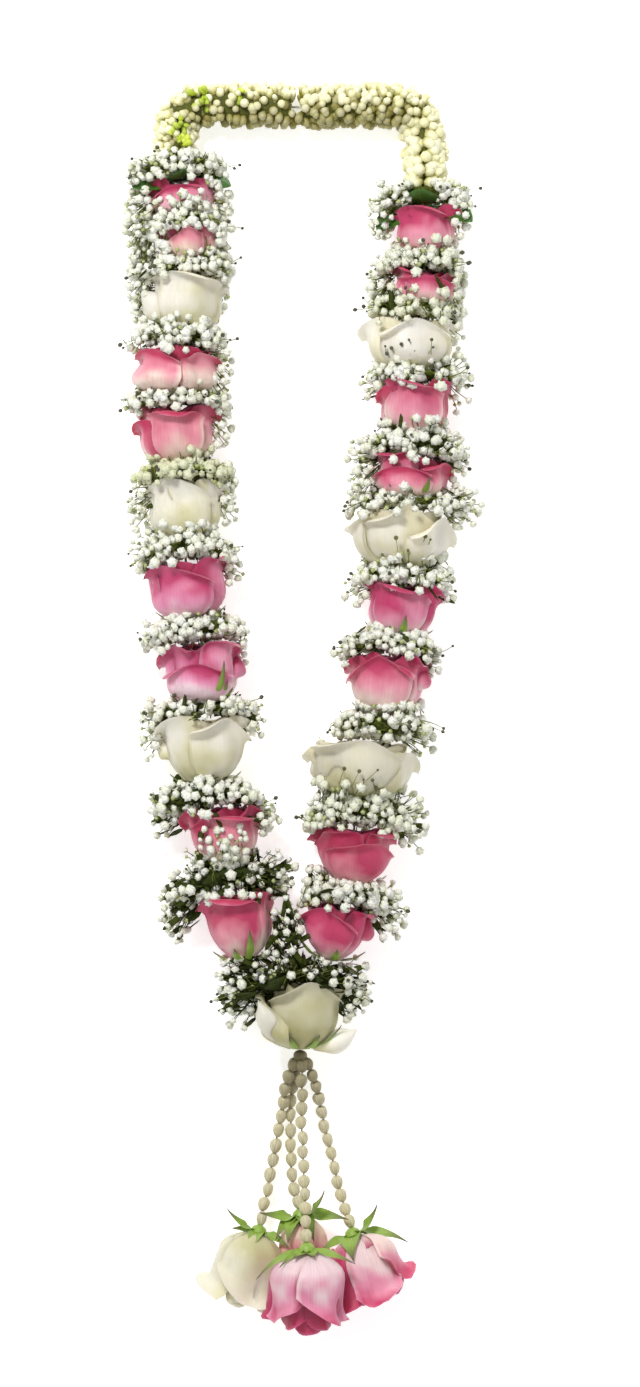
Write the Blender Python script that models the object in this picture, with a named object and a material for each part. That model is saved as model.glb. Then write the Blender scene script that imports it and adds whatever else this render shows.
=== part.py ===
"""Wedding garland: roses and baby's breath on one thread, a rope of jasmine buds for the neck, and a tassel.

It lies on its back on a surface. Metres, +Z up, +Y from the tassel to the neck, origin under its middle.
Every bloom and cluster is turned about the thread, as closed rings of points with the hole inside.
"""

import math
import random

import bpy
from mathutils import Matrix, Vector

MM = 0.001
UP = Vector((0.0, 0.0, 1.0))

# The thread and the holes it runs through
THREAD_RADIUS = 0.8 * MM
HOLE_RADIUS = 2.6 * MM
PAIR_HOLE_RADIUS = 3.6 * MM
COLLAR_HOLE_RADIUS = 3.0 * MM
KNOT_HOLE_RADIUS = 1.2 * MM
PAIR_OFFSET = 1.2 * MM
SEAT_GAP = 0.35 * MM
THREAD_TURN = 2.2 * MM

# Heights above the surface
AXIS_HEIGHT = 30 * MM
FLOOR_GAP = 0.6 * MM
HIGHEST_ABOVE_AXIS = 33 * MM
FLORET_FLOOR = 2.4 * MM
NECK_HEIGHT = 14.5 * MM

# A strung rose: four petals round it, each with three columns of points
PETALS = 4
PETAL_COLUMNS = ((0.0, 1.0, 0.0), (0.48, 0.1, 1.0), (0.88, -1.0, 0.15))
PETAL_STEP = 1.1 * MM
HIP_RADIUS = 4.6 * MM
HANGING_HIP_RADIUS = 6.0 * MM
HIP_HEIGHT = 0.6 * MM
TIP_ROSE_TURN = 0.6
# Shares of the radius, height and petal step, drop of the rim between petals, and which petals' lobes
STRUNG_ROWS = (
    (0.78, 0.21, 0.5, 0.0, "outer"),
    (1.00, 0.52, 1.0, 0.0, "outer"),
    (1.01, 1.00, 1.0, 0.17, "outer"),
    (0.74, 0.68, 0.0, 0.0, "inner"),
    (0.52, 0.97, 0.0, 0.16, "inner"),
)
STRUNG_HOLE_TOP = 0.80
# A tassel rose hangs open, so its three layers of petals show, each longer than the one outside it
HANGING_ROWS = (
    (0.72, 0.13, 0.5, 0.0, "outer"),
    (0.90, 0.48, 1.0, 0.0, "outer"),
    (1.00, 0.86, 1.0, 0.14, "outer"),
    (0.80, 0.64, 0.5, 0.0, "inner"),
    (0.74, 0.98, 0.5, 0.13, "inner"),
    (0.50, 0.74, 0.0, 0.0, "inner"),
    (0.40, 1.00, 0.0, 0.10, "outer"),
)
HANGING_HOLE_TOP = 0.86

# A cluster of baby's breath: two rows of cells round it, each cell cut into two florets
CLUSTER_COLUMNS = 8
CLUSTER_SEAT = 2.6 * MM
FLAT_SEAT = -0.6 * MM
RIM_SEAT = 0.5 * MM
SHORTEST_OVERHANG = 3.0 * MM
TUCKED_SHARE = 0.7
WIDEST_AT = 0.62
# The ring that meets the rose above: share of that rose's radius, and how much wider
TOP_RING = (0.45, 6.0 * MM)
RIM_CLEARANCE = 2.0 * MM
FLORET_STAND = 4.2 * MM
FLORET_RING = (0.78, 0.30)
FLORET_TOP = 0.52
CLUSTER_WAVE = 2.4 * MM

# The neck rope: rows of jasmine buds set out all round
ROPE_RADIUS = 12.8 * MM
ROPE_COLUMNS = 8
ROPE_CLEARANCE = 12 * MM
ROPE_ROW = 11 * MM
BUD_RING = (0.74, 0.30)
BUD_TOP = 0.48

# The tassel's strings of buds
BUD_PITCH = 10.4 * MM
BUD_SIDES = 5
# Share of the bud's length, radius
BUD_PROFILE = ((0.0, 1.9 * MM), (0.34, 4.1 * MM), (0.72, 3.7 * MM))
KNOT_RADIUS = 4.8 * MM
KNOT_LENGTH = 9 * MM
KNOT_DROP = 3 * MM

CALYX_HEIGHT = 4.2 * MM
CALYX_RADIUS = 6.4 * MM
STRING_GAP = 1.3 * MM
SEPALS = 5
SEPAL_LIFT = 4 * MM
# Each sepal or leaf as the share of its half width, and the share of its length, at each column of points
SEPAL_OUTLINE = ((-1.0, 0.0), (0.0, 1.0))
LEAF_OUTLINE = ((-0.94, 0.0), (-0.42, 0.62), (0.0, 1.0), (0.42, 0.62))
LEAVES = 3
LEAF_TURN = 2.0
LEAF_HUB_RADIUS = 6.0 * MM
LEAF_REACH = 34 * MM
LEAF_DROOP = 3 * MM
LEAF_THICKNESS = 1.0 * MM
COLLAR_LIFT = 1.6 * MM
COLLAR_THICKNESS = 2.4 * MM

# Strung roses, neck to tip: colour, centre of the rim, centre of the base, and radius, in millimetres
LEFT_STRAND = (
    ("pink", -83, 365, -80, 340, 21.5),
    ("pink", -79, 334, -77, 309, 21),
    ("white", -78, 302, -81, 261, 24),
    ("pink", -87, 251, -88, 216, 28),
    ("pink", -87, 210, -84, 167, 25),
    ("white", -81, 158, -80, 115, 24.5),
    ("pink", -80, 101, -76, 58, 26.5),
    ("pink", -69, 44, -67, -1, 26.5),
    ("white", -68, -7, -66, -57, 29),
    ("pink", -55, -71, -51, -113, 24.5),
    ("pink", -45, -130, -38, -179, 24),
)
RIGHT_STRAND = (
    ("pink", 87, 346, 87, 313, 21),
    ("pink", 87, 304, 84, 280, 22),
    ("white", 76, 271, 77, 233, 28.5),
    ("pink", 80, 226, 80, 188, 24.5),
    ("pink", 79, 174, 76, 143, 25.5),
    ("white", 71, 137, 71, 93, 34),
    ("pink", 73, 84, 68, 46, 24),
    ("pink", 63, 36, 59, -9, 26),
    ("white", 44, -25, 42, -68, 36),
    ("pink", 38, -85, 36, -128, 25.5),
    ("pink", 28, -138, 22, -179, 23),
)
TIP_ROSE = ("white", 0, -192, 0, -241, 27)

# Each cluster, neck to tip: reach to the left and right of the thread, and how far its sides hang down
LEFT_CLUSTERS = (
    (38, 34, 3),
    (37, 33, 5),
    (38, 34, 3),
    (38, 34, 2),
    (37, 38, 3),
    (37, 38, 4),
    (38, 38, 5),
    (38, 36, 5),
    (41, 38, 3),
    (43, 41, 8),
    (44, 42, 12),
)
RIGHT_CLUSTERS = (
    (35, 36, 4),
    (37, 31, 3),
    (36, 36, 2),
    (32, 38, 2),
    (42, 39, 5),
    (40, 42, 3),
    (37, 36, 5),
    (39, 36, 5),
    (34, 41, 2),
    (41, 42, 10),
    (35, 38, 6),
)
TIP_CLUSTER = (56, 50, 16)
TIP_CLUSTER_THICKNESS = 6.4 * MM
TIP_MEETING = 8.4 * MM
TIP_TOP_RADIUS = 12 * MM
TIP_SEED = 77

# The neck rope's two halves, as the line of the thread in them: x, y, height
LEFT_ROPE = (
    (-4.5, 420, NECK_HEIGHT / MM),
    (-72, 420, NECK_HEIGHT / MM),
    (-87, 405, NECK_HEIGHT / MM),
    (-86, 383, 19),
)
RIGHT_ROPE = (
    (-0.5, 420, NECK_HEIGHT / MM),
    (69, 420, NECK_HEIGHT / MM),
    (85, 404, NECK_HEIGHT / MM),
    (87, 364, 19),
)
# The first rose of each strand leans down to meet the rope
FIRST_RIM_HEIGHT = 27 * MM

# The tassel: colour, base, rim, radius, reach of the sepals, first sepal's angle in degrees
TASSEL_ROSES = (
    ("left", "white", (-29.5, -371, 20), (-42, -424, 25), 24.3, 20, 20),
    ("right", "pink", (37.5, -373, 20), (53, -420, 25), 24.6, 20, 88),
    ("back", "pink", (0.5, -360, 17), (5.5, -399, 17), 16.6, 14, 54),
    ("front", "pink", (5, -380, 56), (4.5, -436, 46), 26, 21, 0),
)
# The strings of buds between the knot and those roses: x, y, height
TASSEL_PATHS = {
    "left": ((-2, -248, 27), (-8, -258, 22), (-12, -280, 10), (-17, -308, 4.4), (-22, -335, 6.5)),
    "right": ((2, -248, 27), (8.5, -258, 22), (14, -282, 10), (21, -312, 4.4), (28, -342, 7)),
    "back": ((-1, -248, 24), (-3, -260, 15), (-4, -280, 5), (-4, -305, 4.4), (-3, -330, 6)),
    "front": ((1, -248, 29), (1.5, -262, 30), (1, -286, 32), (2, -314, 37), (3.5, -345, 46)),
}

SHARP_ANGLE = 40
# Colour and roughness
COLOURS = {
    "pink": ((0.78, 0.28, 0.40), 0.55),
    "white": ((0.90, 0.89, 0.76), 0.55),
    "cluster": ((0.86, 0.90, 0.80), 0.8),
    "bud": ((0.86, 0.85, 0.60), 0.5),
    "sepal": ((0.24, 0.42, 0.10), 0.5),
    "leaf": ((0.06, 0.16, 0.05), 0.45),
    "thread": ((0.88, 0.85, 0.74), 0.9),
}


def clear_scene():
    for obj in list(bpy.data.objects):
        bpy.data.objects.remove(obj)


def material_for(name, colour):
    """A Principled BSDF material with the named colour and roughness."""
    rgb, roughness = COLOURS[colour]
    made = bpy.data.materials.new(name)
    made.use_nodes = True
    shader = made.node_tree.nodes["Principled BSDF"]
    shader.inputs["Base Color"].default_value = (*rgb, 1.0)
    shader.inputs["Roughness"].default_value = roughness
    shader.inputs["Metallic"].default_value = 0.0
    return made


def frame_along(start, direction):
    """The frame at start whose Z runs along direction and whose Y leans towards the sky."""
    axis = direction.normalized()
    side = UP.cross(axis).normalized()
    up = axis.cross(side)
    turn = Matrix((side, up, axis)).transposed()
    return Matrix.Translation(start) @ turn.to_4x4()


def add_solid(name, points, faces, colour, frame=None):
    """A mesh object from points in the garland's frame, placed by the frame it was turned in."""
    frame = frame or Matrix.Identity(4)
    home = frame.inverted()
    mesh = bpy.data.meshes.new(name)
    mesh.from_pydata([home @ p for p in points], [], faces)
    mesh.materials.append(material_for(name, colour))
    mesh.update()
    mesh.shade_smooth()
    mesh.set_sharp_from_angle(angle=math.radians(SHARP_ANGLE))
    obj = bpy.data.objects.new(name, mesh)
    obj.matrix_world = frame
    bpy.context.scene.collection.objects.link(obj)
    return obj


def add_ring(points, ring):
    """Adds a ring of points and returns their numbers."""
    points.extend(ring)
    return list(range(len(points) - len(ring), len(points)))


def cells(low, high):
    """The four-sided cells between two rings with as many points."""
    count = len(low)
    for k in range(count):
        n = (k + 1) % count
        yield low[k], low[n], high[n], high[k]


def two_triangles(cell):
    a, b, c, d = cell
    return [(a, b, c), (a, c, d)]


def bridge(low, high):
    """The triangles between two rings. The hole's ring has a whole share of the other's points."""
    if len(low) == len(high):
        return [t for cell in cells(low, high) for t in two_triangles(cell)]
    few, many = (low, high) if len(low) < len(high) else (high, low)
    group = len(many) // len(few)
    made = []
    for j, corner in enumerate(few):
        for k in range(j * group, (j + 1) * group):
            made.append((corner, many[(k + 1) % len(many)], many[k]))
        made.append((corner, few[(j + 1) % len(few)], many[(j + 1) * group % len(many)]))
    return made if few is low else [tuple(reversed(t)) for t in made]


def hole_ring(frame, radius, first_angle, z, count=4):
    """The few-sided ring where a body meets the hole that the thread runs through."""
    angles = [first_angle + (j + 0.5) * math.tau / count for j in range(count)]
    return [frame @ Vector((radius * math.cos(a), radius * math.sin(a), z)) for a in angles]


def raise_knob(points, faces, outline, ring, top, stand=None):
    """Raises a rounded knob on a flat outline of points: walls up to a smaller ring, then a blunt tip.

    The knob stands square to the outline, as far as its share of the outline's size, or of stand."""
    corners = [points[i] for i in outline]
    centre = sum(corners, Vector()) / len(corners)
    normal = (corners[1] - corners[0]).cross(corners[-1] - corners[0])
    if len(corners) == 4:
        normal = (corners[2] - corners[0]).cross(corners[3] - corners[1])
    size = math.sqrt(normal.length / 2)
    normal.normalize()
    height = size if stand is None else min(stand / top, 1.1 * size)
    shrink, rise = ring
    first = add_ring(points, [centre + (c - centre) * shrink + normal * height * rise for c in corners])
    tip = len(points)
    points.append(centre + normal * height * top)
    faces += bridge(outline, first)
    faces += [(a, b, tip) for a, b in zip(first, [*first[1:], first[0]])]


def press_to_floor(points):
    """Florets and buds that would go below the surface are pressed flat against it."""
    for p in points:
        p.z = max(p.z, 0.0)


def petal_columns(turn):
    """Angle, step of the overlapping petal edge, and height of the lobe, for each column of points."""
    width = math.tau / PETALS
    for petal in range(PETALS):
        for share, step, lobe in PETAL_COLUMNS:
            yield turn + (petal + share) * width, step, lobe


def rose(name, colour, base, rim, radius, rows, hole_top, turn, hole=HOLE_RADIUS, hip=HIP_RADIUS):
    """A cupped rose with overlapping petals in layers, turned about the thread from its hip to its rim."""
    height = (rim - base).length
    frame = frame_along(base, rim - base)
    columns = list(petal_columns(turn))

    def ring(radii, heights):
        middle = base.lerp(rim, sum(heights) / len(heights) / height)
        flatten = min(1.0, (middle.z - FLOOR_GAP) / max(radii)), min(1.0, HIGHEST_ABOVE_AXIS / max(radii))
        made = []
        for (angle, _, _), r, z in zip(columns, radii, heights):
            y = r * math.sin(angle)
            made.append(frame @ Vector((r * math.cos(angle), y * flatten[y > 0], z)))
        return made

    points = []
    rings = [add_ring(points, hole_ring(frame, hole, turn, 0.0))]
    rings.append(add_ring(points, ring([hip] * len(columns), [HIP_HEIGHT] * len(columns))))
    for share, high, step_share, drop, layer in rows:
        radii = [share * radius + step * step_share * PETAL_STEP for _, step, _ in columns]
        lobes = [lobe if layer == "outer" else 1 - lobe for _, _, lobe in columns]
        rings.append(add_ring(points, ring(radii, [height * (high - drop * (1 - lobe)) for lobe in lobes])))
    rings.append(add_ring(points, hole_ring(frame, hole, turn, height * hole_top)))
    faces = [t for low, high in zip(rings, [*rings[1:], rings[0]]) for t in bridge(low, high)]
    return add_solid(name, points, faces, colour, frame)


def cluster_reach(angle, left, right, below):
    """The cluster's outline across the thread: an oval with its own reach each way, down to the surface."""
    across = (left if math.cos(angle) > 0 else right) - FLORET_STAND
    tall = HIGHEST_ABOVE_AXIS - FLORET_STAND if math.sin(angle) > 0 else below
    # The points nearest to the sides stand at half a column from them
    slack = math.tan(math.pi / CLUSTER_COLUMNS) / tall
    across = 1 / math.sqrt(1 / across**2 - slack**2)
    return 1 / math.hypot(math.cos(angle) / across, math.sin(angle) / tall)


def cluster(name, low, high, under, over, reaches, seed, seat=CLUSTER_SEAT, hole=HOLE_RADIUS, bare=()):
    """A ring of baby's breath between one rose's rim and the next one's hip.

    low and high are the frames of that rim and that hip, under and over the two roses' radii. Cells in bare
    have no florets on top."""
    random.seed(seed)
    left, right, hang = (r * MM for r in reaches)
    start, end = low.translation, high.translation
    middle = frame_along(start.lerp(end, WIDEST_AT), low.col[2].xyz + high.col[2].xyz)
    angles = [math.tau * (k + 0.5) / CLUSTER_COLUMNS for k in range(CLUSTER_COLUMNS)]
    below = (start.z - FLORET_FLOOR) / math.cos(math.pi / CLUSTER_COLUMNS)
    reach = [cluster_reach(a, left, right, below) for a in angles]
    reach = [r + random.uniform(-CLUSTER_WAVE, 0.4 * CLUSTER_WAVE) for r in reach]
    clear = (under + RIM_CLEARANCE) / math.cos(math.pi / CLUSTER_COLUMNS)
    overhang = [r - clear > SHORTEST_OVERHANG for r in reach]
    points = []

    def ring(frame, radii, heights):
        made = [Vector((r * math.cos(a), r * math.sin(a), z)) for r, a, z in zip(radii, angles, heights)]
        return add_ring(points, [frame @ p for p in made])

    rings = [add_ring(points, hole_ring(low, hole, angles[0], SEAT_GAP))]
    rings.append(
        ring(
            low,
            [clear if o else TUCKED_SHARE * r for o, r in zip(overhang, reach)],
            [RIM_SEAT if o else FLORET_STAND for o in overhang],
        )
    )
    sag = [hang * abs(math.cos(a)) if o else 0.0 for o, a in zip(overhang, angles)]
    rings.append(ring(middle, reach, [-s for s in sag]))
    share, wider = TOP_RING
    rings.append(ring(high, [min(share * over + wider, r - wider) for r in reach], [seat] * len(reach)))
    rings.append(add_ring(points, hole_ring(high, hole, angles[0], -SEAT_GAP)))
    faces = bridge(rings[0], rings[1]) + bridge(rings[3], rings[4]) + bridge(rings[4], rings[0])
    for row in (1, 2):
        for k, cell in enumerate(cells(rings[row], rings[row + 1])):
            a, b, c, d = cell
            if row == 2 and k in bare:
                faces += two_triangles(cell)
                continue
            # The cell at the end of an overhang tucks in above the petals, so its florets are short
            tucked = row == 1 and overhang[k] != overhang[(k + 1) % CLUSTER_COLUMNS]
            for half in [(a, b, c), (a, c, d)] if random.random() < 0.5 else [(a, b, d), (b, c, d)]:
                stand = FLORET_STAND * random.uniform(0.8, 1.15) * (0.3 if tucked else 1.0)
                raise_knob(points, faces, half, FLORET_RING, FLORET_TOP, stand)
    press_to_floor(points)
    return add_solid(name, points, faces, "cluster", low)


def bend_frames(path):
    """At each point of a line, the frame that halves the bend, and how much a round section widens there."""
    made = []
    for i, p in enumerate(path):
        before = (p - path[i - 1]).normalized() if i else None
        after = (path[i + 1] - p).normalized() if i + 1 < len(path) else before
        before = before or after
        frame = frame_along(p, before + after)
        widen = 1 / max((before + after).length / 2, 0.5)
        bend = after - before
        flat = abs((frame.to_3x3().inverted() @ bend).x) > abs((frame.to_3x3().inverted() @ bend).y)
        made.append((frame, (widen, 1.0) if flat else (1.0, widen)))
    return made


def split_line(corners, step):
    """The line's corners with more points between them, about step apart."""
    made = [corners[0]]
    for a, b in zip(corners, corners[1:]):
        count = max(1, round((b - a).length / step))
        made += [a.lerp(b, (k + 1) / count) for k in range(count)]
    return made


def bud_rope(name, corners, seed):
    """Half of the neck rope: jasmine buds set close, pointing outwards all round the thread."""
    random.seed(seed)
    path = split_line(corners, ROPE_ROW)
    frames = bend_frames(path)
    angles = [math.tau * (k + 0.5) / ROPE_COLUMNS for k in range(ROPE_COLUMNS)]
    points, faces = [], []
    rings = []
    for frame, (wide, tall) in frames:
        ring = [Vector((wide * math.cos(a), tall * math.sin(a), 0)) * ROPE_RADIUS for a in angles]
        rings.append(add_ring(points, [frame @ p for p in ring]))
    for low, high in zip(rings, rings[1:]):
        for cell in cells(low, high):
            raise_knob(points, faces, cell, BUD_RING, BUD_TOP * random.uniform(0.85, 1.1))
    # The hole bends only at the rope's corners
    corner_frames = [frames[path.index(c)][0] for c in corners]
    hole = [add_ring(points, hole_ring(frame, HOLE_RADIUS, angles[0], 0)) for frame in corner_frames]
    for low, high in zip([rings[-1], *hole[::-1]], [*hole[::-1], rings[0]]):
        faces += bridge(low, high)
    press_to_floor(points)
    return add_solid(name, points, faces, "bud")


def star(name, colour, frame, hub, blades, hole):
    """A hub round the thread with thin pointed blades: a rose's sepals, or a collar of leaves.

    hub is its radius and height, and how far it is from the frame. blades are their reach, outline, count,
    how far their tips droop along the frame's axis, and the first one's angle."""
    hub_radius, hub_height, lift = hub
    reach, outline, count, droop, turn = blades
    half = math.pi / count
    columns = [
        (turn + (2 * blade + share) * half, length) for blade in range(count) for share, length in outline
    ]
    floor = frame.translation.z - FLOOR_GAP - LEAF_THICKNESS

    def ring(radius, spread, z, bend=0.0):
        made = []
        for angle, length in columns:
            r = radius + (reach - radius) * spread * length
            y = max(r * math.sin(angle), -floor)
            made.append(frame @ Vector((r * math.cos(angle), y, bend * (length == 1.0) - lift - z)))
        return made

    corners = 4 if len(columns) % 4 == 0 else 5
    first = columns[0][0]
    points = []
    rings = [add_ring(points, hole_ring(frame, hole, first, -lift - hub_height, corners))]
    rings.append(add_ring(points, ring(hub_radius * 0.75, 0, hub_height)))
    rings.append(add_ring(points, ring(hub_radius, 0.6, LEAF_THICKNESS)))
    rings.append(add_ring(points, ring(hub_radius + 0.2 * MM, 1.0, LEAF_THICKNESS / 2, droop)))
    rings.append(add_ring(points, ring(hub_radius, 0.6, 0)))
    rings.append(add_ring(points, hole_ring(frame, hole, first, -lift, corners)))
    faces = [t for low, high in zip(rings, [*rings[1:], rings[0]]) for t in bridge(low, high)]
    return add_solid(name, points, faces, colour, frame)


def smooth_line(corners, count):
    """Points along a smooth Catmull-Rom curve through the corners, evenly spaced by length."""
    ends = [2 * corners[0] - corners[1], *corners, 2 * corners[-1] - corners[-2]]
    fine = []
    for a, b, c, d in zip(ends, ends[1:], ends[2:], ends[3:]):
        for k in range(24):
            t = k / 24
            square, cube = 2 * a - 5 * b + 4 * c - d, 3 * b - a - 3 * c + d
            fine.append(0.5 * (2 * b + (c - a) * t + square * t**2 + cube * t**3))
    fine.append(corners[-1])
    lengths = [0.0]
    for a, b in zip(fine, fine[1:]):
        lengths.append(lengths[-1] + (b - a).length)
    made, i = [], 0
    for k in range(count + 1):
        want = lengths[-1] * k / count
        while i < len(fine) - 2 and lengths[i + 1] < want:
            i += 1
        span = lengths[i + 1] - lengths[i]
        made.append(fine[i].lerp(fine[i + 1], (want - lengths[i]) / span))
    return made


def bud_string(name, corners):
    """One string of the tassel: jasmine buds end to end, each widest near the end it was threaded from."""
    fine = smooth_line(corners, 200)
    length = sum((b - a).length for a, b in zip(fine, fine[1:]))
    buds = round(length / BUD_PITCH)
    shares = [(bud + share, radius) for bud in range(buds) for share, radius in BUD_PROFILE]
    shares.append((float(buds), BUD_PROFILE[0][1]))
    points, rings = [], []
    for share, radius in shares:
        at = share / buds * 200
        i = min(int(at), 199)
        frame = frame_along(fine[i].lerp(fine[i + 1], at - i), fine[i + 1] - fine[i])
        rings.append(add_ring(points, hole_ring(frame, radius, 0.0, 0.0, BUD_SIDES)))
    faces = [t for low, high in zip(rings, rings[1:]) for t in bridge(low, high)]
    faces += [tuple(reversed(rings[0])), tuple(rings[-1])]
    press_to_floor(points)
    return add_solid(name, points, faces, "bud")


def tassel_strings(knot, ends):
    """The knot bud under the last rose, and the four strings of buds that fan out from it, as one body."""
    bpy.ops.mesh.primitive_uv_sphere_add(segments=8, ring_count=6, radius=KNOT_RADIUS, location=knot)
    body = bpy.context.object
    body.name = body.data.name = "tassel_bud_strings"
    for v in body.data.vertices:
        v.co.y *= KNOT_LENGTH / (2 * KNOT_RADIUS)
    body.data.materials.append(material_for("tassel_bud_strings", "bud"))
    together = bpy.data.collections.new("strings")
    bpy.context.scene.collection.children.link(together)
    for side, path in TASSEL_PATHS.items():
        string = bud_string("string_" + side, [Vector(p) * MM for p in path] + [ends[side]])
        bpy.context.scene.collection.objects.unlink(string)
        together.objects.link(string)
    union = body.modifiers.new("strings", "BOOLEAN")
    union.operation = "UNION"
    union.operand_type = "COLLECTION"
    union.collection = together
    union.solver = "EXACT"
    bpy.ops.object.modifier_apply(modifier=union.name)
    for string in list(together.objects):
        bpy.data.objects.remove(string)
    bpy.data.collections.remove(together)
    return body


def thread(points):
    """The one cotton thread, from the knot up one strand, round the neck and down the other to the knot."""
    curve = bpy.data.curves.new("thread", "CURVE")
    curve.dimensions = "3D"
    curve.bevel_depth = THREAD_RADIUS
    curve.bevel_resolution = 2
    curve.use_fill_caps = True
    spline = curve.splines.new("POLY")
    spline.points.add(len(points) - 1)
    for place, p in zip(spline.points, points):
        place.co = (*p, 1.0)
    obj = bpy.data.objects.new("thread", curve)
    obj.data.materials.append(material_for("thread", "thread"))
    bpy.context.scene.collection.objects.link(obj)
    return obj


def strand(side, roses, clusters, rope, number):
    """One side of the garland: its roses, the cluster above each, and a leaf collar. Returns its thread."""
    line = []
    above = frame_along(rope[-1], rope[-2] - rope[-1])
    above_radius = ROPE_RADIUS + ROPE_CLEARANCE
    for i, (colour, rim_x, rim_y, base_x, base_y, radius) in enumerate(roses):
        first = i == 0
        rim = Vector((rim_x * MM, rim_y * MM, FIRST_RIM_HEIGHT if first else AXIS_HEIGHT))
        base = Vector((base_x * MM, base_y * MM, AXIS_HEIGHT))
        axis = (rim - base).normalized()
        radius *= MM
        under = frame_along(rim, axis)
        if first:
            hub = (LEAF_HUB_RADIUS, COLLAR_THICKNESS, COLLAR_LIFT)
            collar = frame_along(rim, -axis)
            blades = (LEAF_REACH, LEAF_OUTLINE, LEAVES, LEAF_DROOP, LEAF_TURN)
            star(f"leaf_collar_{side}", "leaf", collar, hub, blades, COLLAR_HOLE_RADIUS)
            under = frame_along(rim + axis * (COLLAR_LIFT + COLLAR_THICKNESS), axis)
            line.append(under.translation)
        name = f"babys_breath_{side}_{i + 1:02d}"
        seat = FLAT_SEAT if first else CLUSTER_SEAT
        cluster(name, under, above, radius, above_radius, clusters[i], number * 20 + i, seat)
        name = f"rose_{side}_{i + 1:02d}_{colour}"
        turn = math.radians(37 * i + 11 * number)
        rose(name, colour, base, rim, radius, STRUNG_ROWS, STRUNG_HOLE_TOP, turn)
        line += [rim, base]
        above, above_radius = frame_along(base, axis), radius
    return [*line, base - axis * THREAD_TURN]


def tip():
    """The last rose, which both strands meet at, and its wide cluster. Returns the thread's two ends."""
    colour, rim_x, rim_y, base_x, base_y, radius = TIP_ROSE
    rim = Vector((rim_x * MM, rim_y * MM, AXIS_HEIGHT))
    base = Vector((base_x * MM, base_y * MM, AXIS_HEIGHT))
    axis = (rim - base).normalized()
    petals = (radius * MM, STRUNG_ROWS, STRUNG_HOLE_TOP, TIP_ROSE_TURN)
    rose(f"rose_tip_{colour}", colour, base, rim, *petals, PAIR_HOLE_RADIUS)
    under, over = (frame_along(rim + axis * along, axis) for along in (0.0, TIP_CLUSTER_THICKNESS))
    # The two threads come in over the sides of this cluster
    sides = (CLUSTER_COLUMNS - 1, CLUSTER_COLUMNS // 2 - 1)
    seating = (FLAT_SEAT, PAIR_HOLE_RADIUS, sides)
    cluster("babys_breath_tip", under, over, radius * MM, TIP_TOP_RADIUS, TIP_CLUSTER, TIP_SEED, *seating)
    meeting = rim + axis * TIP_MEETING
    apart = Vector((PAIR_OFFSET, 0, 0))
    return base, [base - apart, meeting - apart], [meeting + apart, base + apart]


def main():
    clear_scene()
    ropes = {}
    for side, corners in (("left", LEFT_ROPE), ("right", RIGHT_ROPE)):
        ropes[side] = [Vector(p) * MM for p in corners]
        bud_rope(f"neck_buds_{side}", ropes[side], len(side))
    left = strand("left", LEFT_STRAND, LEFT_CLUSTERS, ropes["left"], 1)
    right = strand("right", RIGHT_STRAND, RIGHT_CLUSTERS, ropes["right"], 2)
    base, up, down = tip()
    thread([*up, *reversed(left), *reversed(ropes["left"]), *ropes["right"], *right, *down])

    ends = {}
    for side, colour, foot, mouth, radius, reach, first_sepal in TASSEL_ROSES:
        foot, mouth = Vector(foot) * MM, Vector(mouth) * MM
        turn = math.radians(31 * len(ends) + 12)
        name = f"tassel_rose_{side}_{colour}"
        petals = (radius * MM, HANGING_ROWS, HANGING_HOLE_TOP, turn)
        rose(name, colour, foot, mouth, *petals, KNOT_HOLE_RADIUS, HANGING_HIP_RADIUS)
        frame = frame_along(foot, mouth - foot)
        hub = (CALYX_RADIUS, CALYX_HEIGHT, SEAT_GAP)
        blades = (reach * MM, SEPAL_OUTLINE, SEPALS, -SEPAL_LIFT, math.radians(first_sepal))
        star(f"calyx_{side}", "sepal", frame, hub, blades, KNOT_HOLE_RADIUS)
        ends[side] = foot - frame.col[2].xyz * (CALYX_HEIGHT + SEAT_GAP + STRING_GAP)
    knot = base - Vector((0, KNOT_LENGTH / 2 + SEAT_GAP, KNOT_DROP))
    tassel_strings(knot, ends)


main()
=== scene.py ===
"""The look of a wedding garland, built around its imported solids.

Each rose, ring of baby's breath, rope of buds, calyx and leaf collar of the frame is replaced by a finer
piece in the same place: petals in layers, florets on stems, jasmine buds, sepals and leaves.
"""

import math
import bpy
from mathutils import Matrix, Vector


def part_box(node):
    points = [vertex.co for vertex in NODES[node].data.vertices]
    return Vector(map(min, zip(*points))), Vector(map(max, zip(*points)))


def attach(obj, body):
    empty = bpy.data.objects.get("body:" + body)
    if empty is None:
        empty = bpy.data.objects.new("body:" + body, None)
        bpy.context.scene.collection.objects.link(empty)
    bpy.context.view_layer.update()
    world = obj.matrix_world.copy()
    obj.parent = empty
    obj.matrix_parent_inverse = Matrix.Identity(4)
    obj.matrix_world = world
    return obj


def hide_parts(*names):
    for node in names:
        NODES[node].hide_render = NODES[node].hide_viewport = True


bl_info = {
    "name": "Wedding garland",
    "version": (1, 0, 0),
    "blender": (4, 5, 0),
    "location": "3D View > Sidebar > Garland",
    "description": "Dresses the solids of a rose and jasmine garland with petals, florets, buds and leaves",
    "category": "Add Mesh",
}

import bpy
import numpy as np
from mathutils import Matrix

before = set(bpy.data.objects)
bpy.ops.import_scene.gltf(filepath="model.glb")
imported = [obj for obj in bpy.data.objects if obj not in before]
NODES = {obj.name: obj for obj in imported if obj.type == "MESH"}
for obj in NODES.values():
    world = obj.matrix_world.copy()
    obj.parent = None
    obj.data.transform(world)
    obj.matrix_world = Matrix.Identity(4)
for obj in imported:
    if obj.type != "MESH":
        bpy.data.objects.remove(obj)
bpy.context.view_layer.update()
BODY = "root"

MM = 0.001
# Points below this height are eased towards the surface
SETTLE = 1.2 * MM
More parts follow.
